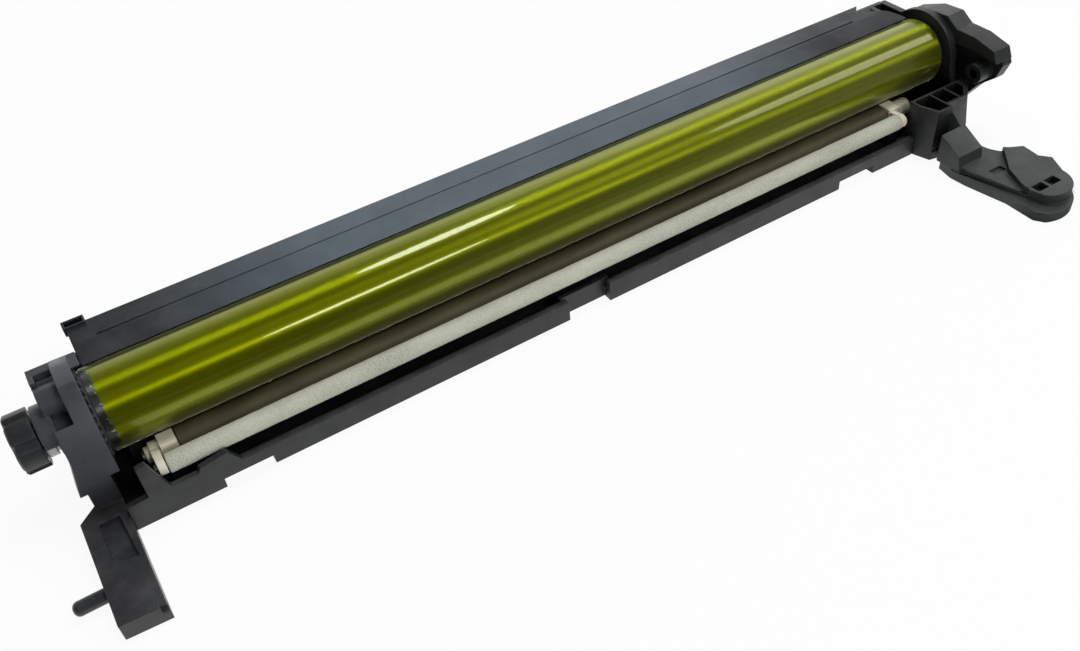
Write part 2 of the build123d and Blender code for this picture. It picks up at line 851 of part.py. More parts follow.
# Drive flange: cup inside the tube, gear ring outside it, and a hub that runs in the bearing
plug_r = tube_inner_r - fit_gap
plug_length = 12.0
gear_left = frame_left + 0.4
spigot_r = 3.5
spigot_length = 3.0
with BuildPart() as drive_flange:
    with BuildSketch(along_x(gear_left)):
        add(gear_outline(drum_teeth, 0.5, auger_angle))
        Circle(1.0)
    extrude(amount=gear_width)
    with BuildSketch(along_x(gear_left + gear_width)):
        Circle(drum_r - 0.4)
    extrude(amount=drum_left - gear_left - gear_width)
    with BuildSketch(along_x(drum_left)):
        Circle(plug_r)
    extrude(amount=plug_length)
    with BuildSketch(along_x(drum_left + 1.5)):
        Circle(plug_r - 1.6)
        Circle(hub_r - 1.0, mode=Mode.SUBTRACT)
    extrude(amount=plug_length, mode=Mode.SUBTRACT)
    with BuildSketch(along_x(coupling_length)):
        Circle(hub_r)
    extrude(amount=gear_left - coupling_length)
    with BuildSketch(along_x(coupling_length - spigot_length)):
        Circle(spigot_r)
        with Locations((0.0, spigot_r)):
            Rectangle(2 * spigot_r, 1.6, mode=Mode.SUBTRACT)
    extrude(amount=spigot_length)
drive_flange.part.label = "drive_flange"
export_step(drive_flange.part, "parts/drive_flange.step")

# Drive coupling: lobed head with a blind socket, on a round neck
lobes = 6
with BuildPart() as drive_coupling:
    with BuildSketch(along_x(0.0)):
        Circle(coupling_r)
        with PolarLocations(coupling_r + 0.6, lobes, start_angle=30):
            Circle(1.9, mode=Mode.SUBTRACT)
    extrude(amount=coupling_length - neck_length)
    with BuildSketch(along_x(coupling_length - neck_length)):
        Circle(hub_r)
    extrude(amount=neck_length)
    chamfer(drive_coupling.faces().sort_by(Axis.X)[0].outer_wire().edges(), 0.8)
    with BuildSketch(along_x(0.0)):
        Circle(socket_r)
    extrude(amount=socket_depth, mode=Mode.SUBTRACT)
    with BuildSketch(along_x(coupling_length - spigot_length)):
        Circle(spigot_r + fit_gap)
        with Locations((0.0, spigot_r)):
            Rectangle(2 * spigot_r, 1.6 - 2 * fit_gap, mode=Mode.SUBTRACT)
    extrude(amount=spigot_length, mode=Mode.SUBTRACT)
drive_coupling.part.label = "drive_coupling"
export_step(drive_coupling.part, "parts/drive_coupling.step")

# Drive bearing: a flanged bush pressed in the left cap, round the hub and the coupling's neck
with BuildPart() as drive_bearing:
    with BuildSketch(along_x(bearing_left)):
        Circle(bearing_r)
        Circle(hub_r + running_gap, mode=Mode.SUBTRACT)
    extrude(amount=bearing_width)
    with BuildSketch(along_x(bearing_left)):
        Circle(bearing_flange_r)
        Circle(hub_r + running_gap, mode=Mode.SUBTRACT)
    extrude(amount=bearing_flange)
    chamfer(drive_bearing.faces().sort_by(Axis.X)[0].outer_wire().edges(), 0.4)
drive_bearing.part.label = "drive_bearing"
export_step(drive_bearing.part, "parts/drive_bearing.step")

# Idler flange: plug with a rim, bored for the pivot pin
idler_rim = 1.0
with BuildPart() as idler_flange:
    with BuildSketch(along_x(drum_right - plug_length)):
        Circle(plug_r)
    extrude(amount=plug_length)
    with BuildSketch(along_x(drum_right)):
        Circle(drum_r - 0.4)
    extrude(amount=idler_rim)
    with BuildSketch(along_x(drum_right - plug_length)):
        Circle(plug_r - 1.6)
        Circle(pivot_r + 2.6, mode=Mode.SUBTRACT)
    extrude(amount=plug_length - 1.5, mode=Mode.SUBTRACT)
    with BuildSketch(along_x(drum_right - plug_length)):
        Circle(pivot_r + running_gap)
    extrude(amount=plug_length + idler_rim, mode=Mode.SUBTRACT)
idler_flange.part.label = "idler_flange"
export_step(idler_flange.part, "parts/idler_flange.step")

# Pivot pin, fixed in the right cap
pin_inner_x = drum_right - plug_length - 2.5
with BuildPart() as pivot_pin:
    with BuildSketch(along_x(pin_inner_x)):
        Circle(pivot_r)
    extrude(amount=limb_x + 4.5 - pin_inner_x)
    chamfer(pivot_pin.edges().sort_by(Axis.X)[0], 0.5)
pivot_pin.part.label = "pivot_pin"
export_step(pivot_pin.part, "parts/pivot_pin.step")

# Earth plate: spring disc with three fingers towards the tube, clamped on the plug's end
earth_thickness = 0.3
with BuildPart() as earth_plate:
    with BuildSketch(along_x(drum_right - plug_length - earth_thickness)):
        Circle(pivot_r + 3.6)
        with PolarLocations(tube_inner_r / 2, 3, start_angle=90):
            Rectangle(tube_inner_r - 2 * fit_gap - 0.3, 4.0)
        Circle(pivot_r + 0.3, mode=Mode.SUBTRACT)
    extrude(amount=earth_thickness)
earth_plate.part.label = "earth_plate"
export_step(earth_plate.part, "parts/earth_plate.step")

# Charge roller sleeve and its stepped shaft
with BuildPart() as charge_roller:
    with BuildSketch(along_x(charge_left, charge_y, charge_z)):
        Circle(charge_r)
        Circle(charge_shaft_r + fit_gap, mode=Mode.SUBTRACT)
    extrude(amount=charge_right - charge_left)
    chamfer(charge_roller.edges().filter_by(GeomType.CIRCLE).group_by(SortBy.RADIUS)[-1], 0.5)
charge_roller.part.label = "charge_roller"
export_step(charge_roller.part, "parts/charge_roller.step")

holder_gap = 0.3
holder_block = 5.8
holder_left = charge_left - holder_gap - holder_block
holder_right = charge_right + holder_gap
link_gap = 0.4
link_left = 2.8
link_right = 7.0
link_left_x = foam_left - link_gap - link_left
link_right_x = foam_right + link_gap
hub_left = 1.8
hub_right = 7.0
shaft_over = 1.0
charge_shaft_left = link_left_x - hub_left - shaft_over
charge_shaft_right = link_right_x + link_right + hub_right + shaft_over
with BuildPart() as charge_shaft:
    with BuildSketch(along_x(charge_left, charge_y, charge_z)):
        Circle(charge_shaft_r)
    extrude(amount=charge_right - charge_left)
    with BuildSketch(along_x(charge_shaft_left, charge_y, charge_z)):
        Circle(charge_journal_r)
    extrude(amount=charge_shaft_right - charge_shaft_left)
charge_shaft.part.label = "charge_shaft"
export_step(charge_shaft.part, "parts/charge_shaft.step")

# Foam cleaning roller and its stepped shaft
with BuildPart() as cleaning_roller:
    with BuildSketch(along_x(foam_left, foam_y, foam_z)):
        Circle(foam_r)
        Circle(foam_shaft_r + fit_gap, mode=Mode.SUBTRACT)
    extrude(amount=foam_right - foam_left)
    chamfer(cleaning_roller.edges().filter_by(GeomType.CIRCLE).group_by(SortBy.RADIUS)[-1], 0.5)
cleaning_roller.part.label = "cleaning_roller"
export_step(cleaning_roller.part, "parts/cleaning_roller.step")

foam_shaft_left = link_left_x - shaft_over
foam_shaft_right = link_right_x + link_left + shaft_over
with BuildPart() as cleaning_shaft:
    with BuildSketch(along_x(foam_left, foam_y, foam_z)):
        Circle(foam_shaft_r)
    extrude(amount=foam_right - foam_left)
    with BuildSketch(along_x(foam_shaft_left, foam_y, foam_z)):
        Circle(foam_journal_r)
    extrude(amount=foam_shaft_right - foam_shaft_left)
cleaning_shaft.part.label = "cleaning_shaft"
export_step(cleaning_shaft.part, "parts/cleaning_shaft.step")

# Roller holders: a block that slides in the guides, a link to the foam shaft, and a hub on the charge shaft
block_half = guide_half - 0.2
block_top_z = charge_z + 5.2
stem_bottom_z = charge_z - 7.6
drum_clear_r = drum_r + 0.6
with BuildSketch(along_x(0.0)) as shaft_bores:
    with Locations((charge_y, charge_z)):
        Circle(charge_journal_r + running_gap)
    with Locations((foam_y, foam_z)):
        Circle(foam_journal_r + running_gap)
with BuildSketch(along_x(0.0)) as drum_clearance:
    Circle(drum_clear_r)

with BuildPart() as left_roller_holder:
    with BuildSketch(along_x(holder_left, y=charge_y)):
        with Locations((0.0, stem_bottom_z)):
            Rectangle(2 * block_half, block_top_z - stem_bottom_z, align=(Align.CENTER, Align.MIN))
    extrude(amount=holder_block)
    with BuildSketch(along_x(link_left_x)):
        with Locations((charge_y, charge_z)):
            Circle(link_charge_r)
        with Locations((foam_y, foam_z)):
            Circle(link_foam_r)
        with Locations(((charge_y + foam_y) / 2, (charge_z + foam_z) / 2)):
            Rectangle(foam_distance, 2 * link_foam_r, rotation=foam_angle)
    extrude(amount=link_left)
    with BuildSketch(along_x(link_left_x, charge_y, charge_z)):
        Circle(link_charge_r)
    extrude(amount=holder_left - link_left_x)
    with BuildSketch(along_x(link_left_x - hub_left, charge_y, charge_z)):
        Circle(3.0)
    extrude(amount=hub_left)
    for hollow in (drum_clearance, shaft_bores):
        extrude(hollow.sketch, amount=frame_right, mode=Mode.SUBTRACT)
left_roller_holder.part.label = "left_roller_holder"
export_step(left_roller_holder.part, "parts/left_roller_holder.step")

with BuildPart() as right_roller_holder:
    with BuildSketch(along_x(holder_right, y=charge_y)):
        with Locations((0.0, stem_bottom_z)):
            Rectangle(2 * block_half, block_top_z - stem_bottom_z, align=(Align.CENTER, Align.MIN))
    extrude(amount=holder_block)
    with BuildSketch(along_x(holder_right + holder_block, charge_y, charge_z)):
        Circle(link_charge_r)
    extrude(amount=link_right_x + link_left - holder_right - holder_block)
    # Tapered wing, widest at the charge shaft
    with BuildSketch(along_x(link_right_x)):
        with Locations((charge_y, charge_z)):
            Circle(link_charge_r)
        with Locations((foam_y, foam_z)):
            Circle(wing_foam_r)
        with Locations(((charge_y + foam_y) / 2, (charge_z + foam_z) / 2)):
            Rectangle(foam_distance, 2 * wing_foam_r, rotation=foam_angle)
    extrude(amount=link_left)
    with BuildSketch(Plane.XZ.offset(-charge_y - link_charge_r + 1.2)):
        with BuildLine():
            Polyline(
                (link_right_x, charge_z + link_charge_r),
                (link_right_x + link_right, charge_z + link_charge_r),
                (link_right_x + link_right - 1.8, charge_z - 2.0),
                (link_right_x + 3.2, charge_z - 7.0),
                (link_right_x, charge_z - 7.0),
                close=True,
            )
        make_face()
    extrude(amount=link_charge_r - 1.2 + 4.2)
    with BuildSketch(along_x(link_right_x + link_left, charge_y, charge_z)):
        Circle(link_charge_r)
    extrude(amount=link_right - link_left + hub_right)
    for hollow in (drum_clearance, shaft_bores):
        extrude(hollow.sketch, amount=frame_right, mode=Mode.SUBTRACT)
right_roller_holder.part.label = "right_roller_holder"
export_step(right_roller_holder.part, "parts/right_roller_holder.step")

# Pressure springs under the holders
spring_wire_r = 0.3
spring_r = 2.4
spring_turns = 3.0
spring_height = stem_bottom_z - floor_z


def pressure_spring(x):
    """Makes a coil spring that stands on the floor under a holder centred at x."""
    with BuildPart() as spring:
        with BuildLine():
            Helix(
                pitch=(spring_height - 2 * spring_wire_r - 0.1) / spring_turns,
                height=spring_height - 2 * spring_wire_r - 0.1,
                radius=spring_r,
                center=(x, charge_y, floor_z + spring_wire_r + 0.05),
            )
        wire_start = (x + spring_r, charge_y, floor_z + spring_wire_r + 0.05)
        with BuildSketch(Plane(origin=wire_start, z_dir=(0, 1, 0))):
            RegularPolygon(spring_wire_r, 6)
        sweep()
    return spring.part


for side, x in (("left", holder_left), ("right", holder_right)):
    coil = pressure_spring(x + holder_block / 2)
    coil.label = f"{side}_pressure_spring"
    export_step(coil, f"parts/{coil.label}.step")

# Cleaning blade on its folded steel bracket; the flange and the blade point at the drum
blade_left = bulkhead_left + bulkhead + 0.5
blade_right = bulkhead_right - 0.5
blade_thickness = 1.6
bracket_steel = 1.2
bracket_front_y = 9.0
bracket_rear_y = rear_y - wall - 0.3
bracket_top_z = ledge_z + bracket_steel
flange_length = 4.8
blade_tip_angle = -79.4
blade_tip = Vector(cos(radians(blade_tip_angle)), sin(radians(blade_tip_angle))) * (drum_r + nip_gap)
fold = Vector(bracket_front_y, ledge_z)
blade_way = (blade_tip - fold).normalized()
blade_side = Vector(-blade_way.Y, blade_way.X)
fold_angle = atan2(blade_way.Y, -blade_way.X)
with BuildPart() as blade_bracket:
    with BuildSketch(along_x(blade_left)):
        with BuildLine():
            Polyline(
                fold,
                (bracket_rear_y, ledge_z),
                (bracket_rear_y, bracket_top_z),
                (bracket_front_y + bracket_steel * tan(fold_angle / 2), bracket_top_z),
                fold + blade_way * flange_length - blade_side * bracket_steel,
                fold + blade_way * flange_length,
                close=True,
            )
        make_face()
    extrude(amount=blade_right - blade_left)
    with BuildSketch(Plane.XY.offset(ledge_z)):
        with Locations(*[(x, blade_screw_y) for x in blade_screw_x]):
            Circle(screw_r + fit_gap)
    extrude(amount=bracket_steel, mode=Mode.SUBTRACT)
blade_bracket.part.label = "blade_bracket"
export_step(blade_bracket.part, "parts/blade_bracket.step")

with BuildPart() as cleaning_blade:
    with BuildSketch(along_x(blade_left)):
        with BuildLine():
            Polyline(
                fold + blade_way * 1.0,
                blade_tip,
                blade_tip + blade_side * blade_thickness,
                fold + blade_way * 1.0 + blade_side * blade_thickness,
                close=True,
            )
        make_face()
    extrude(amount=blade_right - blade_left)
cleaning_blade.part.label = "cleaning_blade"
export_step(cleaning_blade.part, "parts/cleaning_blade.step")

# Recovery film on the divider's top edge
film = 0.25
with BuildPart() as recovery_film:
    with BuildSketch(along_x(blade_left)):
        with BuildLine():
            Polyline(
                (divider_y + wall, divider_top_z),
                (divider_y + wall + film, divider_top_z),
                (divider_y + wall + film, divider_top_z - 4.0),
                (divider_y + wall, divider_top_z - 4.0),
                close=True,
            )
        make_face()
        with Locations((divider_y + wall, divider_top_z)):
            Rectangle(film, 2.0, align=(Align.MIN, Align.MIN))
    extrude(amount=blade_right - blade_left)
recovery_film.part.label = "recovery_film"
export_step(recovery_film.part, "parts/recovery_film.step")

# Felt end seals on the bulkheads' arcs
for side, x in (("left", bulkhead_left), ("right", bulkhead_right)):
    with BuildPart() as end_seal:
        with BuildSketch(along_x(x)):
            Circle(seal_r)
            Circle(drum_r + seal_gap, mode=Mode.SUBTRACT)
            with Locations((divider_y, 0.0)):
                Rectangle(60, 60, align=(Align.MAX, Align.CENTER), mode=Mode.SUBTRACT)
            with Locations((0.0, cover_seat_z - 0.4)):
                Rectangle(60, 60, align=(Align.CENTER, Align.MIN), mode=Mode.SUBTRACT)
        extrude(amount=bulkhead)
    end_seal.part.label = f"{side}_end_seal"
    export_step(end_seal.part, f"parts/{side}_end_seal.step")

# Waste auger: a core with tilted half vanes on its two sides, which together wind along it
auger_left = gear_left - 0.2
flight_left = bulkhead_left + bulkhead + 1.0
flight_right = bulkhead_right - 1.0
vane_tilt = atan2(vane_pitch / 2, 2 * auger_r)
vane_reach = 2 * auger_r * tan(vane_tilt) / 2 + vane_thickness
turns = int((flight_right - flight_left - 2 * vane_reach) / vane_pitch)
with BuildPart() as waste_auger:
    with BuildSketch(along_x(auger_left, auger_y, auger_z)):
        Circle(auger_journal_r)
    extrude(amount=bulkhead_right + bulkhead - auger_left)
    with BuildSketch(along_x(flight_left, auger_y, auger_z)):
        Circle(auger_core_r)
    extrude(amount=flight_right - flight_left)
    for side, shift in ((-1, 0.0), (1, vane_pitch / 2)):
        vane_planes = [
            Plane(
                origin=(flight_left + vane_reach + shift + turn * vane_pitch, auger_y, auger_z),
                x_dir=(0, 1, 0),
                z_dir=(cos(vane_tilt), 0, side * sin(vane_tilt)),
            )
            for turn in range(turns)
        ]
        with BuildSketch(*vane_planes):
            Ellipse(auger_r, auger_r / cos(vane_tilt))
            with Locations((side * auger_r, 0.0)):
                Rectangle(2 * auger_r, 4 * auger_r, mode=Mode.INTERSECT)
        extrude(amount=vane_thickness / 2, both=True)
waste_auger.part.label = "waste_auger"
export_step(waste_auger.part, "parts/waste_auger.step")

# Auger gear, fixed on the auger's left end and in mesh with the drum's gear ring
auger_gear_turn = auger_angle + 180 + 180 / auger_teeth
with BuildPart() as auger_gear:
    with BuildSketch(along_x(gear_left, auger_y, auger_z)):
        add(gear_outline(auger_teeth, auger_journal_r + fit_gap, auger_gear_turn))
    extrude(amount=gear_width)
auger_gear.part.label = "auger_gear"
export_step(auger_gear.part, "parts/auger_gear.step")

# Bias contact: a strip from the right wall to the end of the charge shaft
contact = 0.4
contact_x = charge_shaft_right + 0.35
with BuildPart() as bias_contact:
    with BuildSketch(along_x(contact_x)):
        with Locations((charge_y, floor_z)):
            Rectangle(5.0, charge_z + 3.0 - floor_z, align=(Align.CENTER, Align.MIN))
    extrude(amount=contact)
    with BuildSketch(Plane.XY.offset(floor_z)):
        with Locations((contact_x, charge_y)):
            Rectangle(right_wall_x - contact_x, 5.0, align=(Align.MIN, Align.CENTER))
    extrude(amount=contact)
bias_contact.part.label = "bias_contact"
export_step(bias_contact.part, "parts/bias_contact.step")

# Screws
with BuildPart() as cap_screws:
    for head_x, way in ((left_wall_x, 1), (limb_x, -1)):
        with BuildSketch(along_x(head_x)):
            with Locations(*cap_screw_places):
                Circle(screw_head_r)
        extrude(amount=-way * screw_head)
        with BuildSketch(along_x(head_x)):
            with Locations(*cap_screw_places):
                Circle(screw_r)
        extrude(amount=way * screw_length)
cap_screws.part.label = "cap_screws"
export_step(cap_screws.part, "parts/cap_screws.step")

with BuildPart() as blade_screws:
    with BuildSketch(Plane.XY.offset(bracket_top_z)):
        with Locations(*[(x, blade_screw_y) for x in blade_screw_x]):
            Circle(screw_head_r)
    extrude(amount=screw_head)
    with BuildSketch(Plane.XY.offset(bracket_top_z)):
        with Locations(*[(x, blade_screw_y) for x in blade_screw_x]):
            Circle(screw_r)
    extrude(amount=-(bracket_steel + 4.0))
blade_screws.part.label = "blade_screws"
export_step(blade_screws.part, "parts/blade_screws.step")
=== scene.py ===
import logging
from dataclasses import dataclass
from enum import Enum
from math import pi, radians
from typing import Sequence

import bmesh
import bpy
from mathutils import Matrix, Vector, noise


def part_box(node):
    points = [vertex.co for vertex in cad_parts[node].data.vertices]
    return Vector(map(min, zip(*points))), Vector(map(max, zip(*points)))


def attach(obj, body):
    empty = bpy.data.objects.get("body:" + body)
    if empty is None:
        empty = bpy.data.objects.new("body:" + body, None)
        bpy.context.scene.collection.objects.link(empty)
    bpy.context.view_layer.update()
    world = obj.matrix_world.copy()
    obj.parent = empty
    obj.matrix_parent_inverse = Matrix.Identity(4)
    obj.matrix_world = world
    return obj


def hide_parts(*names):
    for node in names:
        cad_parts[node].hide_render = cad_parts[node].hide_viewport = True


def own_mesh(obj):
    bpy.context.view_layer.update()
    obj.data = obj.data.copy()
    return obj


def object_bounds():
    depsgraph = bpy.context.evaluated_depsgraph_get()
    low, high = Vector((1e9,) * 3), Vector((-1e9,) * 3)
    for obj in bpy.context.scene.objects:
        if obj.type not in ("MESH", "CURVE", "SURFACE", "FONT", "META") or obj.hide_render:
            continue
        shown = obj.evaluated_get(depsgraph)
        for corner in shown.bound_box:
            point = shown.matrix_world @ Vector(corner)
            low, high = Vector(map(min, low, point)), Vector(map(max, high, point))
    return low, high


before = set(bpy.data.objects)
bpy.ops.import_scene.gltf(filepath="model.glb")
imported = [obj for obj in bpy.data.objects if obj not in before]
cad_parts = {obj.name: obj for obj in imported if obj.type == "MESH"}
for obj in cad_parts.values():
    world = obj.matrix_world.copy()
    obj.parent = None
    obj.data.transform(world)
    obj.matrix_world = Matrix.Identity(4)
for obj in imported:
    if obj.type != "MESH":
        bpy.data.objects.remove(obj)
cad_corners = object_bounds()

# Drum unit of a wide-format office printer, in metres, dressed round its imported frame.
# X runs along the drum from the drive end to the handle end, Y to the rear, Z up.

MM = 0.001
WHITE = (1.0, 1.0, 1.0, 1.0)
MERGE_GAP = 0.001 * MM
FLAT_ANGLE = radians(0.6)
SHARP_ANGLE = radians(32)
ROUNDED_ANGLE = radians(40)

log = logging.getLogger("drum_unit")


class Body(Enum):
    """The moving groups that new pieces ride on."""

    FRAME = "frame"
    DRUM = "drum"
    HOLDERS = "roller_holders"
    CHARGING = "charging"
    CLEANING = "cleaning"


def srgb(red: float, green: float, blue: float) -> tuple[float, float, float, float]:
    """Turns a display colour into the linear one that shaders take.

    Args:
        red: Red, 0 to 255.
        green: Green, 0 to 255.
        blue: Blue, 0 to 255.

    Returns:
        The linear colour with an alpha of 1.
    """
    linear = []
    for value in (red, green, blue):
        share = value / 255
        linear.append(share / 12.92 if share <= 0.04045 else ((share + 0.055) / 1.055) ** 2.4)
    return (*linear, 1.0)


class Graph:
    """Adds nodes to one node tree and links them by name."""

    def __init__(self, tree: bpy.types.NodeTree) -> None:
        """Keeps the tree and empties it."""
        self.tree = tree
        tree.nodes.clear()

    def add(self, kind: str, inputs: dict | None = None, **settings) -> bpy.types.Node:
        """Adds one node.

        Args:
            kind: The node's type name.
            inputs: Values or sockets for the node's inputs, by name or number.
            **settings: Properties of the node itself.

        Returns:
            The new node.
        """
        node = self.tree.nodes.new(kind)
        for name, value in settings.items():
            setattr(node, name, value)
        for name, value in (inputs or {}).items():
            self.feed(node.inputs[name], value)
        return node

    def link(self, value: bpy.types.NodeSocket, socket: bpy.types.NodeSocket) -> None:
        """Links one node's output to another node's input."""
        self.tree.links.new(value, socket)

    def feed(self, socket: bpy.types.NodeSocket, value) -> None:
        """Links the input to another node's output, or sets its own value."""
        if isinstance(value, bpy.types.NodeSocket):
            self.link(value, socket)
        else:
            socket.default_value = value

    def maths(self, operation: str, first, second=0.0, clamp: bool = False) -> bpy.types.NodeSocket:
        """Adds a Math node and returns its result."""
        node = self.add("ShaderNodeMath", {0: first, 1: second}, operation=operation, use_clamp=clamp)
        return node.outputs[0]

    def blend(self, factor, first, second) -> bpy.types.NodeSocket:
        """Mixes two colours by a factor and returns the result."""
        node = self.add("ShaderNodeMix", data_type="RGBA", clamp_factor=True)
        for socket, value in ((node.inputs[0], factor), (node.inputs[6], first), (node.inputs[7], second)):
            self.feed(socket, value)
        return node.outputs[2]

    def remap(self, value, low: float, high: float, to_low: float, to_high: float) -> bpy.types.NodeSocket:
        """Maps a value from one range onto another, clamped, and returns the result."""
        node = self.add(
            "ShaderNodeMapRange",
            {"Value": value, "From Min": low, "From Max": high, "To Min": to_low, "To Max": to_high},
        )
        return node.outputs["Result"]

    def place(self, scale: Sequence[float] = (1.0, 1.0, 1.0)) -> bpy.types.NodeSocket:
        """Returns the object's own coordinates, stretched by scale."""
        coordinates = self.add("ShaderNodeTexCoord")
        mapping = self.add("ShaderNodeMapping", {"Vector": coordinates.outputs["Object"], "Scale": scale})
        return mapping.outputs["Vector"]


@dataclass(frozen=True)
class Effect:
    """A shader node group that several finishes share.

    Attributes:
        name: The group's name.
        inputs: Name, socket type and first value of each input.
        outputs: Name and socket type of each output.
    """

    name: str
    inputs: tuple
    outputs: tuple

    def group(self) -> bpy.types.NodeTree:
        """Gives the group, building it the first time."""
        tree = bpy.data.node_groups.get(self.name)
        if tree is None:
            tree = bpy.data.node_groups.new(self.name, "ShaderNodeTree")
            for name, kind, value in self.inputs:
                socket = tree.interface.new_socket(name, in_out="INPUT", socket_type=kind)
                socket.default_value = value
            for name, kind in self.outputs:
                tree.interface.new_socket(name, in_out="OUTPUT", socket_type=kind)
            graph = Graph(tree)
            source = graph.add("NodeGroupInput")
            target = graph.add("NodeGroupOutput")
            self.wire(graph, source.outputs, target.inputs)
        return tree

    def wire(self, graph: Graph, source, target) -> None:
        """Wires the group from its inputs to its outputs."""
        raise NotImplementedError

    def use(self, graph: Graph, inputs: dict | None = None) -> bpy.types.Node:
        """Places the group in a material and returns its node."""
        return graph.add("ShaderNodeGroup", inputs, node_tree=self.group())


FLOAT = "NodeSocketFloat"
VECTOR = "NodeSocketVector"


@dataclass(frozen=True)
class MouldTexture(Effect):
    """Spark-eroded mould texture: a fine even grain with slow changes of gloss."""

    name: str = "mould_texture"
    inputs: tuple = (("Grain", FLOAT, 0.00035), ("Patch", FLOAT, 0.012))
    outputs: tuple = (("Height", FLOAT), ("Patches", FLOAT), ("Specks", FLOAT))

    def wire(self, graph: Graph, source, target) -> None:
        """Wires fine noise for the grain and broad noise for the patches."""
        place = graph.place()
        fine = graph.add(
            "ShaderNodeTexNoise",
            {"Vector": place, "Scale": graph.maths("DIVIDE", 1.0, source["Grain"]), "Detail": 2.0},
        )
        broad = graph.add(
            "ShaderNodeTexNoise",
            {"Vector": place, "Scale": graph.maths("DIVIDE", 1.0, source["Patch"]), "Detail": 5.0,
             "Roughness": 0.62, "Distortion": 0.6},
        )
        specks = graph.add("ShaderNodeTexVoronoi", {"Vector": place, "Scale": 900.0})
        graph.link(fine.outputs["Fac"], target["Height"])
        graph.link(graph.remap(broad.outputs["Fac"], 0.34, 0.66, 0.0, 1.0), target["Patches"])
        graph.link(graph.remap(specks.outputs["Distance"], 0.0, 0.16, 1.0, 0.0), target["Specks"])


@dataclass(frozen=True)
class SoftEdges(Effect):
    """Edges that catch the light as moulded or tumbled edges do, with a mask along them."""

    name: str = "soft_edges"
    inputs: tuple = (("Radius", FLOAT, 0.0004),)
    outputs: tuple = (("Normal", VECTOR), ("Edge", FLOAT))

    def wire(self, graph: Graph, source, target) -> None:
        """Compares the rounded normal with the true one."""
        bevel = graph.add("ShaderNodeBevel", {"Radius": source["Radius"]}, samples=4)
        true = graph.add("ShaderNodeNewGeometry")
        dot = graph.add(
            "ShaderNodeVectorMath", {0: bevel.outputs[0], 1: true.outputs["Normal"]},
            operation="DOT_PRODUCT",
        )
        graph.link(bevel.outputs[0], target["Normal"])
        graph.link(graph.remap(dot.outputs["Value"], 0.995, 0.8, 0.0, 1.0), target["Edge"])


@dataclass(frozen=True)
class TonerDust(Effect):
    """Fine dust that settles on faces that look up and is wiped off elsewhere."""

    name: str = "toner_dust"
    inputs: tuple = (("Amount", FLOAT, 0.3),)
    outputs: tuple = (("Mask", FLOAT),)

    def wire(self, graph: Graph, source, target) -> None:
        """Multiplies cloudy noise by how far a face looks up."""
        place = graph.place()
        cloud = graph.add(
            "ShaderNodeTexNoise", {"Vector": place, "Scale": 55.0, "Detail": 8.0, "Roughness": 0.7}
        )
        true = graph.add("ShaderNodeNewGeometry")
        axes = graph.add("ShaderNodeSeparateXYZ", {0: true.outputs["Normal"]})
        upward = graph.remap(axes.outputs["Z"], 0.0, 1.0, 0.25, 1.0)
        clouds = graph.remap(cloud.outputs["Fac"], 0.42, 0.7, 0.0, 1.0)
        mask = graph.maths("MULTIPLY", graph.maths("MULTIPLY", upward, clouds), source["Amount"], True)
        graph.link(mask, target["Mask"])


@dataclass(frozen=True)
class TurnedLines(Effect):
    """Fine lines round a turned or drawn piece whose axis is X."""

    name: str = "turned_lines"
    inputs: tuple = (("Pitch", FLOAT, 0.00025),)
    outputs: tuple = (("Height", FLOAT), ("Tone", FLOAT))

    def wire(self, graph: Graph, source, target) -> None:
        """Stretches noise round the axis, so that it changes along X alone."""
        place = graph.place((1.0, 0.02, 0.02))
        lines = graph.add(
            "ShaderNodeTexNoise",
            {"Vector": place, "Scale": graph.maths("DIVIDE", 1.0, source["Pitch"]), "Detail": 3.0},
        )
        broad = graph.add("ShaderNodeTexNoise", {"Vector": place, "Scale": 160.0, "Detail": 4.0})
        graph.link(lines.outputs["Fac"], target["Height"])
        graph.link(broad.outputs["Fac"], target["Tone"])


MOULD_TEXTURE = MouldTexture()
SOFT_EDGES = SoftEdges()
TONER_DUST = TonerDust()
TURNED_LINES = TurnedLines()


@dataclass(frozen=True)
class Finish:
    """What every finish has: a name and a material built from nodes.

    Attributes:
        name: The material's name.
        colour: The main colour.
        roughness: The middle of the surface's roughness.
    """

    name: str
    colour: tuple
    roughness: float = 0.45

    def material(self) -> bpy.types.Material:
        """Gives the material, building it the first time."""
        found = bpy.data.materials.get(self.name)
        if found is None:
            found = bpy.data.materials.new(self.name)
            found.use_nodes = True
            graph = Graph(found.node_tree)
            shader = graph.add("ShaderNodeBsdfPrincipled")
            output = graph.add("ShaderNodeOutputMaterial")
            graph.link(shader.outputs[0], output.inputs["Surface"])
            self.wire(graph, shader)
            found.diffuse_color = self.colour
        return found

    def wire(self, graph: Graph, shader: bpy.types.Node) -> None:
        """Wires the shader's inputs."""
        raise NotImplementedError

    def bump(self, graph: Graph, shader: bpy.types.Node, height, depth: float, normal=None) -> None:
        """Feeds the shader's normal from a height.

        Args:
            graph: The material's graph.
            shader: The shader that takes the normal.
            height: The socket that gives the height.
            depth: The height of a full step, in metres.
            normal: A normal to start from, or None for the surface's own.
        """
        node = graph.add("ShaderNodeBump", {"Strength": 1.0, "Distance": depth, "Height": height})
        if normal is not None:
            graph.link(normal, node.inputs["Normal"])
        graph.link(node.outputs["Normal"], shader.inputs["Normal"])


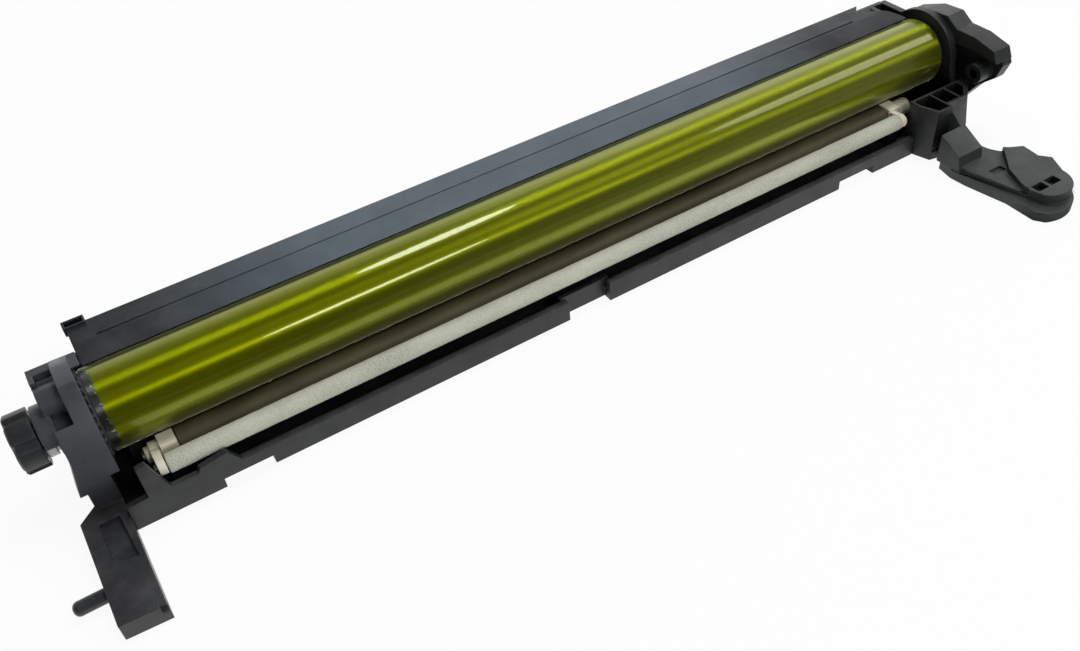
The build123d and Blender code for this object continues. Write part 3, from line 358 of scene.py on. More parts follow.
@dataclass(frozen=True)
class MouldedPlastic(Finish):
    """Injection-moulded plastic with grain, patches of gloss, edges painted paler for wear and a painted
    highlight, and dust.

    Attributes:
        second: The colour of the broad patches.
        dust: How much pale dust lies on faces that look up.
        grain_depth: The depth of the mould texture, in metres.
        edge_radius: The radius that the edges seem to have, in metres.
    """

    second: tuple = (0.02, 0.02, 0.02, 1.0)
    dust: float = 0.3
    grain_depth: float = 0.000012
    edge_radius: float = 0.0004

    def wire(self, graph: Graph, shader: bpy.types.Node) -> None:
        """Wires colour, roughness and normal."""
        texture = MOULD_TEXTURE.use(graph)
        edges = SOFT_EDGES.use(graph, {"Radius": self.edge_radius})
        dust = TONER_DUST.use(graph, {"Amount": self.dust})
        base = graph.blend(texture.outputs["Patches"], self.colour, self.second)
        pale = tuple(min(1.0, 0.06 + 1.5 * c) for c in self.colour[:3]) + (1.0,)
        dusty = graph.blend(dust.outputs["Mask"], base, pale)
        # The edges are painted paler: wear, and a painted highlight where the rounded edges catch the
        # light.
        edge_wear_and_highlight = graph.blend(graph.maths("MULTIPLY", edges.outputs["Edge"], 0.35), dusty, pale)
        graph.link(edge_wear_and_highlight, shader.inputs["Base Color"])
        patches = texture.outputs["Patches"]
        smooth = graph.remap(patches, 0.0, 1.0, self.roughness - 0.07, self.roughness + 0.07)
        rough = graph.maths("ADD", smooth, graph.maths("MULTIPLY", dust.outputs["Mask"], 0.25), True)
        graph.link(rough, shader.inputs["Roughness"])
        shader.inputs["IOR"].default_value = 1.5
        self.bump(graph, shader, texture.outputs["Height"], self.grain_depth, edges.outputs["Normal"])


@dataclass(frozen=True)
class DrumCoating(Finish):
    """Photoconductive coating: a richly coloured glossy film over bright metal, with faint rings and
    painted reflection streaks along the tube.

    Attributes:
        ring_and_painted_streak: The colour of the faint rings and of the painted reflection streaks, darker
            bands along the tube.
        metal: The bare tube's dull colour.
        rubbed: The bare tube's colour where it is rubbed bright.
        metallic: How much of the film's light comes back from the metal below it.
        coat: The weight of the film's own clear gloss.
        coat_roughness: The roughness of that gloss.
        specular: The shader's specular level.
        anisotropy: How far the highlights are drawn out round the tube.
        sheen: The weight of the pale haze at grazing angles.
        sheen_roughness: The haze's roughness.
        sheen_tint: The haze's colour.
        ring_pitch: The spacing of the faint rings, in metres.
        ring_depth: The depth of the faint rings, in metres.
        film_start: Where the film begins along X, in metres.
        ragged: How far the film's edge wanders to each side, in metres.
    """

    ring_and_painted_streak: tuple = (0.1, 0.1, 0.0, 1.0)
    metal: tuple = (0.11, 0.125, 0.115, 1.0)
    rubbed: tuple = (0.6, 0.62, 0.58, 1.0)
    metallic: float = 0.92
    coat: float = 0.6
    coat_roughness: float = 0.03
    specular: float = 0.2
    anisotropy: float = 0.9
    sheen: float = 0.7
    sheen_roughness: float = 0.34
    sheen_tint: tuple = (0.92, 1.0, 0.55, 1.0)
    ring_pitch: float = 0.0009
    ring_depth: float = 0.0000015
    film_start: float = 29.6 * MM
    ragged: float = 0.3 * MM

    def wire(self, graph: Graph, shader: bpy.types.Node) -> None:
        """Wires the film's colour, gloss, faint rings and painted reflection streaks."""
        lines = TURNED_LINES.use(graph, {"Pitch": self.ring_pitch})
        # Painted reflection: darker streaks along the tube stand in for the bands that the room reflects in
        # it.
        along = graph.add(
            "ShaderNodeTexNoise", {"Vector": graph.place((0.012, 1.0, 1.0)), "Scale": 240.0, "Detail": 4.0}
        )
        painted_streak = graph.remap(along.outputs["Fac"], 0.38, 0.62, 0.0, 0.7)
        rings = graph.remap(lines.outputs["Tone"], 0.35, 0.65, 0.0, 0.14)
        film = graph.blend(graph.maths("ADD", painted_streak, rings, True), self.colour, self.ring_and_painted_streak)
        bare = self.bare_mask(graph)
        graph.link(graph.blend(bare, film, self.strip_colour(graph)), shader.inputs["Base Color"])
        rough = graph.remap(painted_streak, 0.0, 0.6, self.roughness - 0.02, self.roughness + 0.04)
        graph.link(rough, shader.inputs["Roughness"])
        metallic = graph.remap(bare, 0.0, 1.0, self.metallic, 1.0)
        graph.link(metallic, shader.inputs["Metallic"])
        coat = graph.remap(bare, 0.0, 1.0, self.coat, 0.0)
        graph.link(coat, shader.inputs["Coat Weight"])
        shader.inputs["Specular IOR Level"].default_value = self.specular
        shader.inputs["Anisotropic"].default_value = self.anisotropy
        axis = graph.add("ShaderNodeCombineXYZ", {"X": 1.0})
        graph.link(axis.outputs["Vector"], shader.inputs["Tangent"])
        shader.inputs["Coat Roughness"].default_value = self.coat_roughness
        shader.inputs["Sheen Weight"].default_value = self.sheen
        shader.inputs["Sheen Roughness"].default_value = self.sheen_roughness
        shader.inputs["Sheen Tint"].default_value = self.sheen_tint
        self.bump(graph, shader, lines.outputs["Height"], self.ring_depth)

    def bare_mask(self, graph: Graph) -> bpy.types.NodeSocket:
        """Masks the bare strip before the film starts, with a ragged edge and chips just inside it."""
        coordinates = graph.add("ShaderNodeTexCoord").outputs["Object"]
        axes = graph.add("ShaderNodeSeparateXYZ", {0: coordinates})
        outside = graph.maths("SUBTRACT", self.film_start, axes.outputs["X"])
        ragged = graph.add("ShaderNodeTexNoise", {"Vector": coordinates, "Scale": 700.0, "Detail": 3.0})
        shift = graph.remap(ragged.outputs["Fac"], 0.3, 0.7, -self.ragged, self.ragged)
        edge = graph.remap(graph.maths("ADD", outside, shift), -0.05 * MM, 0.05 * MM, 0.0, 1.0)
        chips = graph.add("ShaderNodeTexNoise", {"Vector": coordinates, "Scale": 900.0, "Detail": 2.0})
        near = graph.remap(outside, -1.3 * MM, -0.2 * MM, 0.0, 0.3)
        chipped = graph.remap(graph.maths("ADD", chips.outputs["Fac"], near), 0.8, 0.83, 0.0, 1.0)
        inside = graph.remap(near, 0.0, 0.02, 0.0, 1.0)
        return graph.maths("MAXIMUM", edge, graph.maths("MULTIPLY", chipped, inside))

    def strip_colour(self, graph: Graph) -> bpy.types.NodeSocket:
        """Colours the bare strip: dull grey metal with small rubbed flecks beside the film."""
        place = graph.place()
        axes = graph.add("ShaderNodeSeparateXYZ", {0: place})
        near = graph.remap(axes.outputs["X"], self.film_start - 1.0 * MM, self.film_start, 0.0, 0.1)
        spots = graph.add("ShaderNodeTexNoise", {"Vector": place, "Scale": 800.0, "Detail": 2.0})
        bright = graph.remap(graph.maths("ADD", spots.outputs["Fac"], near), 0.66, 0.7, 0.0, 1.0)
        return graph.blend(bright, self.metal, self.rubbed)


@dataclass(frozen=True)
class TurnedMetal(Finish):
    """Turned, drawn or pressed metal with fine lines and dull spots.

    Attributes:
        line_pitch: The spacing of the lines, in metres.
        line_depth: The depth of the lines, in metres.
    """

    line_pitch: float = 0.00025
    line_depth: float = 0.000003

    def wire(self, graph: Graph, shader: bpy.types.Node) -> None:
        """Wires the metal's tone, lines and edges."""
        lines = TURNED_LINES.use(graph, {"Pitch": self.line_pitch})
        edges = SOFT_EDGES.use(graph, {"Radius": 0.0002})
        dark = tuple(0.72 * c for c in self.colour[:3]) + (1.0,)
        tone = graph.remap(lines.outputs["Tone"], 0.35, 0.65, 0.0, 1.0)
        graph.link(graph.blend(tone, self.colour, dark), shader.inputs["Base Color"])
        rough = graph.remap(tone, 0.0, 1.0, self.roughness - 0.06, self.roughness + 0.1)
        graph.link(rough, shader.inputs["Roughness"])
        shader.inputs["Metallic"].default_value = 1.0
        self.bump(graph, shader, lines.outputs["Height"], self.line_depth, edges.outputs["Normal"])


@dataclass(frozen=True)
class Rubber(Finish):
    """Conductive rubber or cast urethane, ground to a dull even surface.

    Attributes:
        bloom: The colour of the dust rubbed into the surface.
        specular: The shader's specular level.
    """

    bloom: tuple = (0.1, 0.1, 0.08, 1.0)
    specular: float = 0.35

    def wire(self, graph: Graph, shader: bpy.types.Node) -> None:
        """Wires the ground surface and the rubbed-in dust."""
        lines = TURNED_LINES.use(graph, {"Pitch": 0.0004})
        cloud = graph.add(
            "ShaderNodeTexNoise", {"Vector": graph.place((0.35, 1.0, 1.0)), "Scale": 120.0, "Detail": 7.0}
        )
        bloom = graph.remap(cloud.outputs["Fac"], 0.38, 0.7, 0.0, 0.8)
        graph.link(graph.blend(bloom, self.colour, self.bloom), shader.inputs["Base Color"])
        rough = graph.remap(bloom, 0.0, 0.8, self.roughness, self.roughness + 0.2)
        graph.link(rough, shader.inputs["Roughness"])
        shader.inputs["Specular IOR Level"].default_value = self.specular
        self.bump(graph, shader, lines.outputs["Height"], 0.000006)


@dataclass(frozen=True)
class CellFoam(Finish):
    """Open-cell foam or felt: small cells, matt, darker in the low places.

    Attributes:
        pit_colour: The colour of the cells' depths.
        cell: The size of one cell, in metres.
        depth: The depth of the cells, in metres.
    """

    pit_colour: tuple = (0.2, 0.2, 0.15, 1.0)
    cell: float = 0.0005
    depth: float = 0.00015

    def wire(self, graph: Graph, shader: bpy.types.Node) -> None:
        """Wires the cells' height and the darker colour of their low places."""
        place = graph.place()
        cells = graph.add("ShaderNodeTexVoronoi", {"Vector": place, "Scale": 1.0 / self.cell})
        cloud = graph.add(
            "ShaderNodeTexNoise", {"Vector": graph.place((0.3, 1.0, 1.0)), "Scale": 90.0, "Detail": 6.0}
        )
        low = graph.remap(cells.outputs["Distance"], 0.1, 0.75, 0.0, 1.0)
        pit_share = graph.maths("MULTIPLY", low, graph.remap(cloud.outputs["Fac"], 0.35, 0.7, 0.25, 0.9), True)
        graph.link(graph.blend(pit_share, self.colour, self.pit_colour), shader.inputs["Base Color"])
        rough = graph.remap(low, 0.0, 1.0, self.roughness - 0.05, self.roughness)
        graph.link(rough, shader.inputs["Roughness"])
        shader.inputs["Specular IOR Level"].default_value = 0.2
        self.bump(graph, shader, graph.maths("SUBTRACT", 1.0, low), self.depth)


@dataclass(frozen=True)
class BlackHandled(MouldedPlastic):
    """The frame's black plastic, with hair scratches from handling."""

    def wire(self, graph: Graph, shader: bpy.types.Node) -> None:
        """Adds fine scratches to the plastic's roughness."""
        super().wire(graph, shader)
        scratches = graph.add(
            "ShaderNodeTexNoise", {"Vector": graph.place((0.12, 1.0, 0.5)), "Scale": 900.0, "Detail": 2.0}
        )
        mark = graph.remap(scratches.outputs["Fac"], 0.66, 0.74, 0.0, 0.12)
        plain = shader.inputs["Roughness"].links[0].from_socket
        graph.link(graph.maths("SUBTRACT", plain, mark, True), shader.inputs["Roughness"])


@dataclass(frozen=True)
class PaintedLightZone(BlackHandled):
    """Moulding with a zone of painted light between two lines across it: the zone is painted paler where
    more light falls.

    Attributes:
        axis: The axis that the lines are square to.
        rise: Where the zone starts and where it is full, in metres.
        fall: Where the zone starts to end and where it is gone, in metres.
        painted_light: The painted light that the zone adds to the colour.
        specular: The shader's specular level.
    """

    axis: str = "Y"
    rise: tuple = (-1.0, -0.9)
    fall: tuple = (0.9, 1.0)
    painted_light: tuple = (0.02, 0.02, 0.02, 1.0)
    specular: float = 0.5

    def wire(self, graph: Graph, shader: bpy.types.Node) -> None:
        """Adds the zone's painted light to the plastic's colour."""
        super().wire(graph, shader)
        axes = graph.add("ShaderNodeSeparateXYZ", {0: graph.place()})
        along = axes.outputs[self.axis]
        begins = graph.remap(along, *self.rise, 0.0, 1.0)
        ends = graph.remap(along, *self.fall, 1.0, 0.0)
        share = graph.maths("MULTIPLY", begins, ends)
        source = shader.inputs["Base Color"].links[0].from_socket
        mixed = graph.add("ShaderNodeMix", data_type="RGBA", blend_type="ADD", clamp_factor=True)
        graph.link(share, mixed.inputs[0])
        graph.link(source, mixed.inputs[6])
        mixed.inputs[7].default_value = self.painted_light
        graph.link(mixed.outputs[2], shader.inputs["Base Color"])
        shader.inputs["Specular IOR Level"].default_value = self.specular


FRAME_BLACK = BlackHandled("frame_black", srgb(31, 33, 33), 0.42, second=srgb(24, 26, 27), dust=0.35)
# Painted light: the cap's upper part is painted paler than its lowest part, which stands in shade.
CAP_BLACK = PaintedLightZone(
    "cap_black", srgb(46, 47, 49), 0.36, second=srgb(32, 33, 35), dust=0.35,
    axis="Z", rise=(-0.017, -0.010), painted_light=(0.024, 0.027, 0.033, 1.0),
)
# Painted light: the front of the handle cap is painted paler than its rear, which stands in shade.
HANDLE_GREY = PaintedLightZone(
    "handle_grey", srgb(30, 32, 33), 0.45, second=srgb(22, 24, 25), dust=0.2,
    fall=(-0.046, -0.038), painted_light=(0.014, 0.021, 0.018, 1.0),
)
# Painted light: the cover's middle is painted paler than its two ends, for the light that falls there.
COVER_SLATE = PaintedLightZone(
    "cover_slate", srgb(38, 41, 44), 0.4, second=srgb(30, 33, 36), dust=0.35, specular=0.25,
    axis="X", rise=(0.05, 0.12), fall=(0.3, 0.36), painted_light=(0.07, 0.095, 0.115, 1.0),
)
FLANGE_GREY = MouldedPlastic("flange_grey", srgb(52, 54, 58), 0.35, second=srgb(44, 48, 52), dust=0.2)
COUPLING_BLACK = MouldedPlastic("coupling_black", srgb(38, 40, 42), 0.35, second=srgb(28, 30, 33), dust=0.3)
BEARING_WHITE = MouldedPlastic(
    "bearing_white", srgb(196, 196, 190), 0.3, second=srgb(180, 180, 172), dust=0.1,
)
IVORY_NYLON = MouldedPlastic(
    "ivory_nylon", srgb(224, 219, 198), 0.35, second=srgb(212, 204, 180), dust=0.1,
)
GEAR_NYLON = MouldedPlastic("gear_nylon", srgb(70, 72, 74), 0.38, second=srgb(58, 60, 63), dust=0.2)
COATING = DrumCoating("olive_film", srgb(152, 159, 2), 0.4, ring_and_painted_streak=srgb(118, 127, 0))
STEEL = TurnedMetal("drawn_steel", srgb(178, 178, 176), 0.3)
BRIGHT_STEEL = TurnedMetal("plated_steel", srgb(214, 214, 212), 0.2, line_depth=0.0000015)
COPPER = TurnedMetal("spring_bronze", srgb(214, 150, 96), 0.28)
DARK_STEEL = TurnedMetal("dark_steel", srgb(120, 120, 118), 0.35)
CHARGE_RUBBER = Rubber("grey_brown_rubber", srgb(66, 60, 40), 0.5, bloom=srgb(88, 84, 60))
URETHANE = Rubber("amber_urethane", srgb(176, 132, 60), 0.3, bloom=srgb(150, 110, 56), specular=0.5)
FILM = Rubber("smoked_film", srgb(48, 50, 52), 0.2, bloom=srgb(66, 68, 70), specular=0.5)
FOAM = CellFoam("white_cell_foam", srgb(202, 203, 188), 0.9, pit_colour=srgb(150, 152, 135))
FELT = CellFoam("dark_felt", srgb(72, 72, 70), 0.95, pit_colour=srgb(40, 40, 38), cell=0.00035, depth=0.00012)


def turned(
    profile: Sequence[tuple[float, float]], axis: tuple[float, float], segments: int,
) -> bmesh.types.BMesh:
    """Turns a profile about an axis that runs along X.

    Args:
        profile: Distance along X and radius of each point, in metres, the first and last joined or
            on the axis.
        axis: The axis' Y and Z, in metres.
        segments: The number of facets round the axis.

    Returns:
        The closed shape, faces outwards.
    """
    shape = bmesh.new()
    line = [shape.verts.new((x, axis[0], axis[1] + radius)) for x, radius in profile]
    edges = [shape.edges.new(pair) for pair in zip(line, line[1:])]
    bmesh.ops.spin(
        shape, geom=line + edges, cent=(0.0, *axis), axis=(1.0, 0.0, 0.0), dvec=(0.0, 0.0, 0.0),
        angle=2 * pi, steps=segments, use_merge=True, use_duplicate=False,
    )
    bmesh.ops.remove_doubles(shape, verts=shape.verts, dist=0.01 * MM)
    bmesh.ops.recalc_face_normals(shape, faces=shape.faces)
    return shape


def sharpen(shape: bmesh.types.BMesh, angle: float = SHARP_ANGLE) -> None:
    """Smooths every face and keeps the edges sharper than an angle."""
    for face in shape.faces:
        face.smooth = True
    for edge in shape.edges:
        edge.smooth = len(edge.link_faces) == 2 and edge.calc_face_angle(0.0) < angle


@dataclass(frozen=True)
class Fitting:
    """Says where a piece belongs.

    Attributes:
        name: The piece's name.
        body: The body that it rides on.
        finish: The finish that it takes.
        slot: The slot for that finish; not used.
        node: The CAD node that it stands for, if any.
    """

    name: str
    body: Body
    finish: Finish
    slot: str
    node: str = ""

    def place(self, shape: bmesh.types.BMesh) -> bpy.types.Object:
        """Makes the piece from its shape, dresses it and sets it on its body.

        Args:
            shape: The finished shape, which is freed.

        Returns:
            The new piece.
        """
        mesh = bpy.data.meshes.new(self.name)
        shape.to_mesh(mesh)
        shape.free()
        mesh.materials.append(self.finish.material())
        piece = bpy.data.objects.new(self.name, mesh)
        bpy.context.scene.collection.objects.link(piece)
        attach(piece, self.body.value)
        if self.node:
            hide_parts(self.node)
        log.info("placed %s on %s", self.name, self.body.value)
        return piece

    def soften(self, width: float) -> bpy.types.Object:
        """Makes the piece from its node, with the sharp edges rounded as a mould or press leaves them.

        Args:
            width: The width of the rounding, in metres.

        Returns:
            The new piece.
        """
        shape = merged_copy(self.node)
        bmesh.ops.dissolve_limit(
            shape, angle_limit=FLAT_ANGLE, use_dissolve_boundaries=False,
            verts=shape.verts, edges=shape.edges,
        )
        sharpen(shape)
        piece = self.place(shape)
        rounding = piece.modifiers.new("rounding", "BEVEL")
        rounding.width = width
        rounding.segments = 2
        rounding.limit_method = "ANGLE"
        rounding.angle_limit = ROUNDED_ANGLE
        rounding.use_clamp_overlap = False
        rounding.harden_normals = True
        return piece


def merged_copy(node: str) -> bmesh.types.BMesh:
    """Gives a copy of a CAD node's mesh with its loose triangles joined."""
    shape = bmesh.new()
    shape.from_mesh(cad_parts[node].data)
    bmesh.ops.remove_doubles(shape, verts=shape.verts, dist=MERGE_GAP)
    return shape


def dress_node(node: str, finish: Finish) -> None:
    """Gives a CAD node its finish.

    Args:
        node: The node's name.
        finish: The finish that every face of it takes.
    """
    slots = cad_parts[node].data.materials
    slots.clear()
    slots.append(finish.material())
    log.info("dressed %s in %s", node, finish.name)


def node_span(node: str) -> tuple[Vector, Vector]:
    """Gives a node's lowest and highest corners."""
    low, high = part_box(node)
    return Vector(low), Vector(high)


@dataclass
class Housing:
    """The moulded frame, its cover and the two end caps.

    Attributes:
        frame_edge: The rounding of the frame's edges, in metres.
        cap_edge: The rounding of the end caps' edges, in metres.
    """

    frame_edge: float = 0.2 * MM
    cap_edge: float = 0.25 * MM

    def build(self) -> None:
        """Builds and dresses the housing."""
        for name, finish, slot, node, edge in (
            ("frame_moulding", FRAME_BLACK, "frame_plastic", "main_frame", self.frame_edge),
            ("cover_plate", COVER_SLATE, "cover_plastic", "rear_cover", self.frame_edge),
            ("drive_end_cap", CAP_BLACK, "cap_plastic", "left_end_cap", self.cap_edge),
            ("handle_end_cap", HANDLE_GREY, "cap_plastic", "right_end_cap", self.cap_edge),
        ):
            Fitting(name, Body.FRAME, finish, slot, node).soften(edge)
        dress_node("drive_bearing", BEARING_WHITE)
        dress_node("pivot_pin", STEEL)


@dataclass
class Drum:
    """The coated tube with its flanges, coupling and earth plate.

    Attributes:
        radius: The tube's outer radius, in metres.
        wall: The tube's wall, in metres.
        rim: The rounding of the tube's ends, in metres.
        coupling_edge: The rounding of the coupling's edges, in metres.
        segments: The facets round the tube.
    """

    radius: float = 15.0 * MM
    wall: float = 0.8 * MM
    rim: float = 0.15 * MM
    coupling_edge: float = 0.2 * MM
    segments: int = 160

    def build(self) -> None:
        """Builds and dresses the drum."""
        self.tube()
        coupling = Fitting("coupling", Body.DRUM, COUPLING_BLACK, "flange_plastic", "drive_coupling")
        coupling.soften(self.coupling_edge)
        dress_node("drive_flange", FLANGE_GREY)
        dress_node("idler_flange", FLANGE_GREY)
        dress_node("earth_plate", COPPER)

    def tube(self) -> None:
        """Turns the tube, with rounded rims and rows of faces that are short near its ends."""
        low, high = node_span("drum_tube")
        inner = self.radius - self.wall
        stations = [0.0, 3.0 * MM, 30.0 * MM]
        outside = [low.x + self.rim + step for step in stations]
        outside += [high.x - self.rim - step for step in reversed(stations)]
        profile = [(low.x, inner), (low.x, self.radius - self.rim)]
        profile += [(x, self.radius) for x in outside]
        profile += [(high.x, self.radius - self.rim), (high.x, inner), (low.x, inner)]
        shape = turned(profile, (0.0, 0.0), self.segments)
        sharpen(shape)
        Fitting("coated_tube", Body.DRUM, COATING, "drum_coating", "drum_tube").place(shape)


@dataclass
class RollerBay:
    """The charge roller and the foam roller in their sprung holders.

    Attributes:
        cell: The spacing of the foam's mesh, in metres.
        pit: How deep the foam's cells are, in metres.
        cell_size: The size of the foam's open cells, in metres.
        wave_size: The size of the foam's slow swells, in metres.
        wave: Half the height of those swells, in metres.
        foam_segments: The facets round the foam.
        rubber_segments: The facets round the charge roller.
        chamfer: The chamfer at the rollers' ends, in metres.
        holder_edge: The rounding of the holders' edges, in metres.
        travel: How far the holders slide down, in metres; not used.
    """

    cell: float = 0.42 * MM
    pit: float = 0.16 * MM
    cell_size: float = 0.55 * MM
    wave_size: float = 4.0 * MM
    wave: float = 0.05 * MM
    foam_segments: int = 56
    rubber_segments: int = 72
    chamfer: float = 0.4 * MM
    holder_edge: float = 0.2 * MM
    travel: float = 0.8 * MM

    def build(self) -> None:
        """Builds and dresses the rollers, their shafts, holders and springs."""
        self.rubber()
        self.foam()
        for side in ("left", "right"):
            node = f"{side}_roller_holder"
            holder = Fitting(f"{side}_holder", Body.HOLDERS, IVORY_NYLON, "ivory_plastic", node)
            holder.soften(self.holder_edge)
            self.spring(side)
        dress_node("charge_shaft", STEEL)
        dress_node("cleaning_shaft", STEEL)

    def rubber(self) -> None:
        """Turns the charge roller's rubber, with chamfered ends and a bore for its shaft."""
        low, high = node_span("charge_roller")
        radius = (high.z - low.z) / 2
        bore = self.bore("charge_shaft")
        shape = turned(
            [
                (low.x, bore),
                (low.x, radius - self.chamfer),
                (low.x + self.chamfer, radius),
                (high.x - self.chamfer, radius),
                (high.x, radius - self.chamfer),
                (high.x, bore),
                (low.x, bore),
            ],
            ((low.y + high.y) / 2, (low.z + high.z) / 2),
            self.rubber_segments,
        )
        sharpen(shape)
        rubber = Fitting("charge_rubber", Body.CHARGING, CHARGE_RUBBER, "charge_rubber", "charge_roller")
        rubber.place(shape)

    def spring(self, side: str) -> None:
        """Makes one pressure spring from a merged copy of its node.

        Args:
            side: The end of the unit, left or right.
        """
        node = f"{side}_pressure_spring"
        shape = merged_copy(node)
        sharpen(shape)
        piece = Fitting(f"{side}_coil_spring", Body.FRAME, BRIGHT_STEEL, "spring_steel", node).place(shape)
        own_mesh(piece)

    def bore(self, shaft: str) -> float:
        """Gives the radius of the bore that takes a shaft."""
        low, high = node_span(shaft)
        return (high.z - low.z) / 2

    def foam(self) -> None:
        """Turns the foam roller and sinks its open cells into the surface."""
        low, high = node_span("cleaning_roller")
        radius = (high.z - low.z) / 2
        axis = ((low.y + high.y) / 2, (low.z + high.z) / 2)
        bore = self.bore("cleaning_shaft")
        length = high.x - low.x - 2 * self.chamfer
        steps = int(length / self.cell)
        start = low.x + self.chamfer
        outside = [(start + length * step / steps, radius) for step in range(steps + 1)]
        profile = [(low.x, bore), (low.x, radius - self.chamfer), *outside]
        profile += [(high.x, radius - self.chamfer), (high.x, bore), (low.x, bore)]
        shape = turned(profile, axis, self.foam_segments)
        centre = Vector((0.0, *axis))
        for vert in shape.verts:
            outward = Vector((0.0, vert.co.y, vert.co.z)) - centre
            if outward.length < radius - self.chamfer:
                continue
            fine = noise.noise(vert.co / self.cell_size)
            broad = noise.noise(vert.co / self.wave_size)
            depth = self.pit * max(0.0, 0.45 + 0.55 * fine) + self.wave * (broad + 1.0)
            vert.co -= outward.normalized() * depth
        for face in shape.faces:
            face.smooth = True
        Fitting("foam_sleeve", Body.CLEANING, FOAM, "foam", "cleaning_roller").place(shape)


@dataclass
class WasteChamber:
    """The cleaning blade and what carries the waste away behind it."""

    def build(self) -> None:
        """Dresses the chamber's parts."""
        for node, finish in (
            ("blade_bracket", STEEL),
            ("cleaning_blade", URETHANE),
            ("recovery_film", FILM),
            ("left_end_seal", FELT),
            ("right_end_seal", FELT),
            ("waste_auger", GEAR_NYLON),
            ("auger_gear", GEAR_NYLON),
            ("bias_contact", DARK_STEEL),
        ):
            dress_node(node, finish)


@dataclass
class Screws:
    """Pan-head screws with a cross recess, one for each solid of a CAD node.

    Attributes:
        node: The node that they stand for.
        recess_width: The width of the recess' arms, in metres.
        recess_length: The length of the recess across the head, in metres.
        recess_depth: The depth of the recess, in metres.
        head_margin: What the head's height gains over its widest band, in metres.
        crown_share: The height of one step of the crown, as a share of the head's.
        crown_line: The crown's points, as steps from the top and shares of the head's radius.
        segments: The facets round a head.
    """

    node: str
    recess_width: float = 0.8 * MM
    recess_length: float = 3.2 * MM
    recess_depth: float = 0.9 * MM
    head_margin: float = 0.4 * MM
    crown_share: float = 0.22
    crown_line: tuple = ((0.0, 0.62), (0.35, 0.82), (1.0, 0.94), (2.0, 1.0))
    segments: int = 32

    def build(self) -> None:
        """Builds every screw of the node as one piece."""
        merged = merged_copy(self.node)
        mesh = bpy.data.meshes.new("screw_work")
        whole = bmesh.new()
        for island in self.islands(merged):
            screw = self.screw(island)
            screw.to_mesh(mesh)
            screw.free()
            whole.from_mesh(mesh)
        merged.free()
        bpy.data.meshes.remove(mesh)
        sharpen(whole)
        Fitting(f"{self.node}_set", Body.FRAME, BRIGHT_STEEL, "steel", self.node).place(whole)

    def islands(self, shape: bmesh.types.BMesh) -> list[list[Vector]]:
        """Gives the points of each separate solid."""
        waiting = set(shape.verts)
        found = []
        while waiting:
            front = [min(waiting, key=lambda vert: vert.index)]
            waiting.discard(front[0])
            points = []
            while front:
                vert = front.pop()
                points.append(vert.co.copy())
                for edge in vert.link_edges:
                    other = edge.other_vert(vert)
                    if other in waiting:
                        waiting.discard(other)
                        front.append(other)
            found.append(points)
        return found

    def screw(self, points: list[Vector]) -> bmesh.types.BMesh:
        """Turns one screw over the points of its CAD solid.

        Args:
            points: The solid's points.

        Returns:
            The screw, with its recess cut.
        """
        low = Vector([min(point[axis] for point in points) for axis in range(3)])
        high = Vector([max(point[axis] for point in points) for axis in range(3)])
        long_axis = max(range(3), key=lambda axis: (high - low)[axis])
        middle = (low + high) / 2
        length = (high - low)[long_axis]

        def away(point: Vector) -> float:
            """Gives a point's distance from the screw's own line."""
            offset = point - middle
            offset[long_axis] = 0.0
            return offset.length

        head_r = max(away(point) for point in points)
        wide = [point[long_axis] for point in points if away(point) > 0.9 * head_r]
        head_first = sum(wide) / len(wide) < middle[long_axis]
        head_height = max(wide) - min(wide) + self.head_margin
        shank_r = min(away(point) for point in points if abs(away(point)) > 0.3 * MM)
        crown = self.crown_share * head_height
        profile = [
            (0.0, 0.0),
            *((step * crown, share * head_r) for step, share in self.crown_line),
            (head_height, head_r),
            (head_height, shank_r),
            (length, shank_r),
            (length, 0.0),
        ]
        shape = turned(profile, (0.0, 0.0), self.segments)
        self.recess(shape)
        step = 1.0 if head_first else -1.0
        start = (low if head_first else high)[long_axis]
        columns = [Vector((0.0, 0.0, 0.0)) for _ in range(3)]
        columns[0][long_axis] = step
        columns[1][(long_axis + 1) % 3] = 1.0
        columns[2] = columns[0].cross(columns[1])
        turn = Matrix(columns).transposed().to_4x4()
        origin = middle.copy()
        origin[long_axis] = start
        bmesh.ops.transform(shape, matrix=Matrix.Translation(origin) @ turn, verts=shape.verts)
        bmesh.ops.recalc_face_normals(shape, faces=shape.faces)
        return shape

    def recess(self, shape: bmesh.types.BMesh) -> None:
        """Cuts a cross into the flat of the head, which lies at X = 0."""
        half_width = self.recess_width / 2
        half_length = self.recess_length / 2
        for axis in (1, 2):
            for place in (-half_length, -half_width, half_width, half_length):
                point = Vector((0.0, 0.0, 0.0))
                normal = Vector((0.0, 0.0, 0.0))
                point[axis] = place
                normal[axis] = 1.0
                everything = [*shape.verts, *shape.edges, *shape.faces]
                bmesh.ops.bisect_plane(
                    shape, geom=everything, dist=0.0001 * MM, plane_co=point, plane_no=normal,
                )
        inside = []
        for face in shape.faces:
            centre = face.calc_center_median()
            reach = sorted((abs(centre.y), abs(centre.z)))
            if abs(centre.x) < 0.01 * MM and reach[0] < half_width and reach[1] < half_length:
                inside.append(face)
        sunk = bmesh.ops.extrude_face_region(shape, geom=inside)["geom"]
        moved = [item for item in sunk if isinstance(item, bmesh.types.BMVert)]
        bmesh.ops.translate(shape, verts=moved, vec=(self.recess_depth, 0.0, 0.0))
        bmesh.ops.delete(shape, geom=inside, context="FACES_ONLY")


